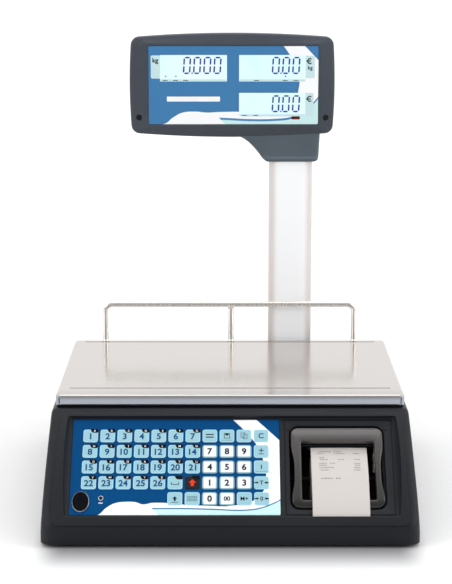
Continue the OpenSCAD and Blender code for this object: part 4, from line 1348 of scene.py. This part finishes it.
def zero(height):
    """A seven-segment zero, standing on the origin: six bars with pointed ends round a leaning rectangle."""
    w, h, t = height * 0.39, height, height * 0.1
    corners = [(0, h), (w, h), (w, h / 2), (w, 0), (0, 0), (0, h / 2)]
    parts = []
    for p, q in zip(corners, corners[1:] + corners[:1]):
        p, q = np.array(p, float), np.array(q, float)
        d = (q - p) / np.linalg.norm(q - p)
        n = np.array([-d[1], d[0]]) * t / 2
        p, q = p + d * t * 0.35, q - d * t * 0.35
        near, far = p + d * t / 2, q - d * t / 2
        outline = np.array([p, near + n, far + n, q, far - n, near - n])
        outline[:, 0] += sizes().digit_lean * outline[:, 1]
        parts.append(flat(outline))
    return joined(parts)


def currency(height):
    """A currency mark: an open arc with two bars across it."""
    a = np.radians(np.linspace(50, 310, 24))
    r = height / 2
    edges = [np.column_stack([q * 0.9 * np.cos(a), q * np.sin(a)]) for q in (r, r - 1.25)]
    ring = loft([level(edge, 0.0) for edge in edges], closed=False)
    return joined([ring, bar(-r * 1.2, r * 0.3, 0.35, 1.1), bar(-r * 1.2, r * 0.3, -1.1, -0.35)])


def number(zeros, height):
    """A display number of zeros with a dot after the first, whose right end is at the origin."""
    pitch, end = height * 0.652, -height * 0.04
    parts = [moved(zero(height), end - pitch * (i + 1), 0) for i in range(zeros)]
    dot = bar(-0.75, 0.75, -0.7, 0.8)
    parts.append(moved(dot, end - pitch * (zeros - 1) - height * 0.1, 0))
    return joined(parts)


class SCALE_OT_displays(Operator):
    """Builds both windows' print, the display glass, the digits and the unit tabs"""
    bl_idname = "scale.displays"
    bl_label = "Displays"

    def execute(self, context):
        finish_node("front_window", window_print("window_print_front", False))
        finish_node("rear_window", window_print("window_print_rear", True))
        finish_node("lcd_panels", display_glass())
        finish_node("display_board", board_finish("display_board_mask"))
        glass, dark = display_glass(), ink("display_ink", hues().digit)
        tab, black = printed("unit_tab", srgb("C3DFE3")), ink("window_black", hues().black)
        label = printed("label_strip", srgb("F2F2F2"))
        eye = printed("sensor_eye", srgb("5E1210"), 0.2)
        mid = (WINDOW_LOW[0] + WINDOW_HIGH[0]) / 2
        for side, y, flip in (("front", WINDOW_LOW[1], 1), ("rear", box_mm("rear_window")[1][1], -1)):

            def stand(part, x, z, lift, flip=flip, y=y):
                verts, faces = part
                across = mid + flip * (verts[:, 0] + x - mid)
                depth = np.full(len(verts), y - flip * lift)
                return facing((np.column_stack([across, depth, verts[:, 1] + z]), faces), (0, -flip, 0))

            def plate(x0, x1, z0, z1, r, lift):
                return stand(flat(soft_rect(x0, x1, z0, z1, r, corner=5, side=1)), 0, 0, lift)

            tabs = [plate(*field, 1.8, 0.03) for field in TAB_FIELDS]
            piece(f"unit_tabs_{side}", joined(tabs), tab)
            screens = [plate(*field, 0.5, 0.06) for field in SCREEN_FIELDS]
            piece(f"display_glass_{side}", joined(screens), glass)
            borders = [plate(x0 + 0.4, x1 - 0.4, z0, z0 + 2.4, 0.3, 0.08) for x0, x1, z0, _ in SCREEN_FIELDS]
            piece(f"display_borders_{side}", joined(borders), tab)
            height = sizes().digit_height / MM
            numbers = [stand(number(4, height), -5.6, 440.8, 0.1), stand(number(3, height), 83.4, 440.8, 0.1),
                       stand(number(3, height), 83.4, 397.6, 0.1)]
            piece(f"display_digits_{side}", joined(numbers), dark)
            marks = [stand(lettering("kg", 7.4, 0.025), -84, 454.6, 0.09),
                     stand(currency(7.0), 90.6, 454.4, 0.09),
                     stand(lettering("kg", 6.0, 0.02), 91, 446.4, 0.09),
                     stand(currency(7.0), 90.8, 412, 0.09)]
            marks += [stand(bar(-2.8, 2.8, -0.4, 0.4), x, z, 0.11) for x, z in DASHES_AT]
            marks += [stand(flat([(-1.1, -0.8), (1.1, -0.8), (0, 0.9)]), x, z, 0.11) for x, z in POINTERS_AT]
            piece(f"window_marks_{side}", joined(marks), black)
            piece(f"label_strip_{side}", plate(-71.2, -11, 408.9, 414.5, 0.6, 0.03), label)
            piece(f"sensor_eye_{side}", plate(69.9, 79.8, 388.6, 392.2, 1.4, 0.1), eye)
        return {"FINISHED"}


class SCALE_OT_inside(Operator):
    """Finishes the parts inside the base and at its rear"""
    bl_idname = "scale.inside"
    bl_label = "Inside parts"

    def execute(self, context):
        finish_node("load_cell", plain_metal("load_cell_aluminium", srgb("C3C6C9"), 0.3))
        finish_node("load_cell_mounts", plain_metal("mount_metal", srgb("5A5D60"), 0.5))
        finish_node("main_board", board_finish("main_board_mask"))
        finish_node("power_supply", plain_metal("supply_case", srgb("B9BCBE"), 0.35))
        finish_node("battery", moulded("battery_case", srgb("2F3236"), rough=0.5))
        socket = moulded("inlet_plastic", srgb("101113"), rough=0.45)
        finish_node("power_inlet", socket)
        low, high = INLET_LOW, INLET_HIGH
        rear = CASING_HIGH[1]
        steps = [(-0.4, rear - 2.5), (-0.4, rear - 0.35), (-0.2, rear - 0.08), (0.5, rear - 0.02),
                 (2.2, rear - 0.02),
                 (2.5, rear - 0.15), (2.5, rear - 0.6)]
        rings = [upright(soft_rect(low[0] - g, high[0] + g, low[2] - g, high[2] + g, 2.5 + g, side=3), y)
                 for g, y in steps]
        piece("inlet_bezel", facing(loft(rings), (0, 1, 0)), socket)
        low, high = box_mm("bubble_level")
        x, y = (low[:2] + high[:2]) / 2
        vial = Finish("level_vial", **{"Transmission Weight": 0.6, "Coat Weight": 0.5})
        vial.colour(vial.tone(vial.noise(200, 2), srgb("B9D77A"), 0.1))
        vial.rough(vial.spread(vial.noise(300, 2), 0.05, 0.12))
        top = high[2]
        profile = [(5.9, low[2]), (6, top - 0.9), (5.2, top - 0.45), (3, top - 0.12), (0.4, top - 0.02)]
        piece("level_dome", turned(profile, (x, y, 0)), vial.material,
              replaces=["bubble_level"])
        ring = [(6.1, top - 3), (6.1, top - 0.5), (6.5, top - 0.05), (7.6, top - 0.1), (7.8, top - 0.7),
                (7.8, top - 3)]
        a = np.linspace(0, 2 * np.pi, 40, endpoint=False)
        loops = [np.column_stack([x + r * np.cos(a), y + r * np.sin(a), np.full(40, z)]) for r, z in ring]
        collar = plain_metal("collar_brass", srgb("8B8D90"), 0.25)
        piece("level_collar", facing(loft(loops), (0, 0, 1)), collar)
        return {"FINISHED"}


# ---------------------------------------------------------------- stage

def area_light(name, at, target, size, power, tint=(1, 1, 1), mirrored=True):
    data = bpy.data.lights.new(name, "AREA")
    data.energy, data.shape, data.size, data.size_y, data.color = power, "RECTANGLE", size[0], size[1], tint
    obj = bpy.data.objects.new(name, data)
    obj.location, obj.visible_glossy = at, mirrored
    obj.rotation_euler = (Vector(target) - Vector(at)).to_track_quat("-Z", "Y").to_euler()
    bpy.context.scene.collection.objects.link(obj)


class SCALE_OT_stage(Operator):
    """Sets the pale floor, the soft lights and the camera"""
    bl_idname = "scale.stage"
    bl_label = "Stage"

    def execute(self, context):
        scene = context.scene
        mesh = bpy.data.meshes.new("floor")
        half = 40.0
        mesh.from_pydata([(-half, -half, 0), (half, -half, 0), (half, half, 0), (-half, half, 0)], [],
                         [(0, 1, 2, 3)])
        floor = bpy.data.objects.new("floor", mesh)
        scene.collection.objects.link(floor)
        pale = Finish("floor_paint", Roughness=0.9)
        place = pale.put("ShaderNodeSeparateXYZ", {"Vector": pale.coords}).outputs[1]

        def along(y0, y1):
            return pale.put("ShaderNodeMapRange", {"Value": place, "From Min": y0, "From Max": y1},
                            interpolation_type="SMOOTHSTEP").outputs[0]

        # painted shadow: a soft grey band on the floor, under and just in front of the base's front edge,
        # within the base's width
        sides = pale.put("ShaderNodeSeparateXYZ", {"Vector": pale.coords}).outputs[0]
        inside = pale.put("ShaderNodeMapRange", {"Value": pale.math("ABSOLUTE", sides, 0.0), "From Min": 0.2,
                                                 "From Max": 0.165},
                                                 interpolation_type="SMOOTHSTEP").outputs[0]
        painted_shadow_band = pale.math("MULTIPLY", along(-0.272, -0.205), along(0.0, -0.1))
        near = pale.math("MULTIPLY", painted_shadow_band, inside)
        # the painted shadow is mixed into the floor's pale colour here
        ground = pale.mix(near, pale.tone(pale.noise(3, 2), (0.84, 0.84, 0.845), 0.004), (0.3, 0.3, 0.31))
        pale.colour(pale.mix(along(-1.1, -0.5), (0.42, 0.42, 0.425), ground))
        pale.set(pale.shader.inputs["Emission Color"], (1, 1, 1))
        pale.set(pale.shader.inputs["Emission Strength"], pale.math("MULTIPLY", along(0.3, 3.0), 0.4))
        mesh.materials.append(pale.material)

        world = bpy.data.worlds.new("studio")
        scene.world = world
        world.use_nodes = True
        self.sky(world.node_tree)
        target = (0, 0, 0.15)
        area_light("top_box", (0.0, 0.5, 2.2), target, (1.8, 1.4), 12)
        area_light("front_box", (0.0, -2.1, 1.2), target, (1.2, 0.8), 14, mirrored=False)
        area_light("left_box", (-1.9, -1.3, 1.3), target, (1.0, 1.4), 13, (1.0, 0.985, 0.97))
        area_light("right_box", (1.8, -0.6, 1.1), target, (0.7, 1.4), 10, (0.97, 0.99, 1.0))

        data = bpy.data.cameras.new("camera")
        data.lens, data.sensor_width, data.clip_end = 107.5, 36.0, 200
        camera = bpy.data.objects.new("camera", data)
        camera.location = (-0.0042, -1.839, 0.6032)
        camera.rotation_euler = (math.pi / 2 - 0.20663, 0, 0)
        scene.collection.objects.link(camera)
        scene.camera = camera
        scene.view_settings.view_transform = "Standard"
        return {"FINISHED"}

    def sky(self, tree):
        """White behind and above the scale, and grey in front of it, like a room beyond a white sweep."""
        put, link = tree.nodes.new, tree.links.new
        where = put("ShaderNodeTexCoord")
        split = put("ShaderNodeSeparateXYZ")
        link(where.outputs["Generated"], split.inputs[0])
        sum_ = put("ShaderNodeMath")
        sum_.operation = "MULTIPLY_ADD"
        link(split.outputs[2], sum_.inputs[0])
        sum_.inputs[1].default_value = 0.75
        link(split.outputs[1], sum_.inputs[2])
        ramp = put("ShaderNodeMapRange")
        ramp.interpolation_type = "SMOOTHSTEP"
        for name, value in (("From Min", -0.7), ("From Max", 0.7), ("To Min", 0.36), ("To Max", 1.0)):
            ramp.inputs[name].default_value = value
        link(sum_.outputs[0], ramp.inputs["Value"])
        tree.nodes["Background"].inputs[0].default_value = (1, 1, 1, 1)
        link(ramp.outputs[0], tree.nodes["Background"].inputs[1])


class SCALE_PT_panel(Panel):
    """Lists the pieces of the scale"""
    bl_idname = "SCALE_PT_panel"
    bl_label = "Label printing scale"
    bl_space_type = "VIEW_3D"
    bl_region_type = "UI"
    bl_category = "Scale"

    def draw(self, context):
        for operator in OPERATORS:
            self.layout.operator(operator.bl_idname)
        for group in (context.scene.scale_sizes, context.scene.scale_colours):
            for name in group.__annotations__:
                self.layout.prop(group, name)


OPERATORS = (SCALE_OT_casing, SCALE_OT_tray, SCALE_OT_keypad, SCALE_OT_power, SCALE_OT_printer,
             SCALE_OT_platter,
             SCALE_OT_column, SCALE_OT_head, SCALE_OT_displays, SCALE_OT_inside, SCALE_OT_stage)
CLASSES = (ScaleSizes, ScaleColours, *OPERATORS, SCALE_PT_panel)


def register():
    for cls in CLASSES:
        bpy.utils.register_class(cls)
    bpy.types.Scene.scale_sizes = PointerProperty(type=ScaleSizes)
    bpy.types.Scene.scale_colours = PointerProperty(type=ScaleColours)


def unregister():
    del bpy.types.Scene.scale_sizes, bpy.types.Scene.scale_colours
    for cls in reversed(CLASSES):
        bpy.utils.unregister_class(cls)


def main():
    register()
    for operator in OPERATORS:
        getattr(bpy.ops.scale, operator.bl_idname.split(".")[1])()
    bpy.context.view_layer.update()


if __name__ == "__main__":
    main()
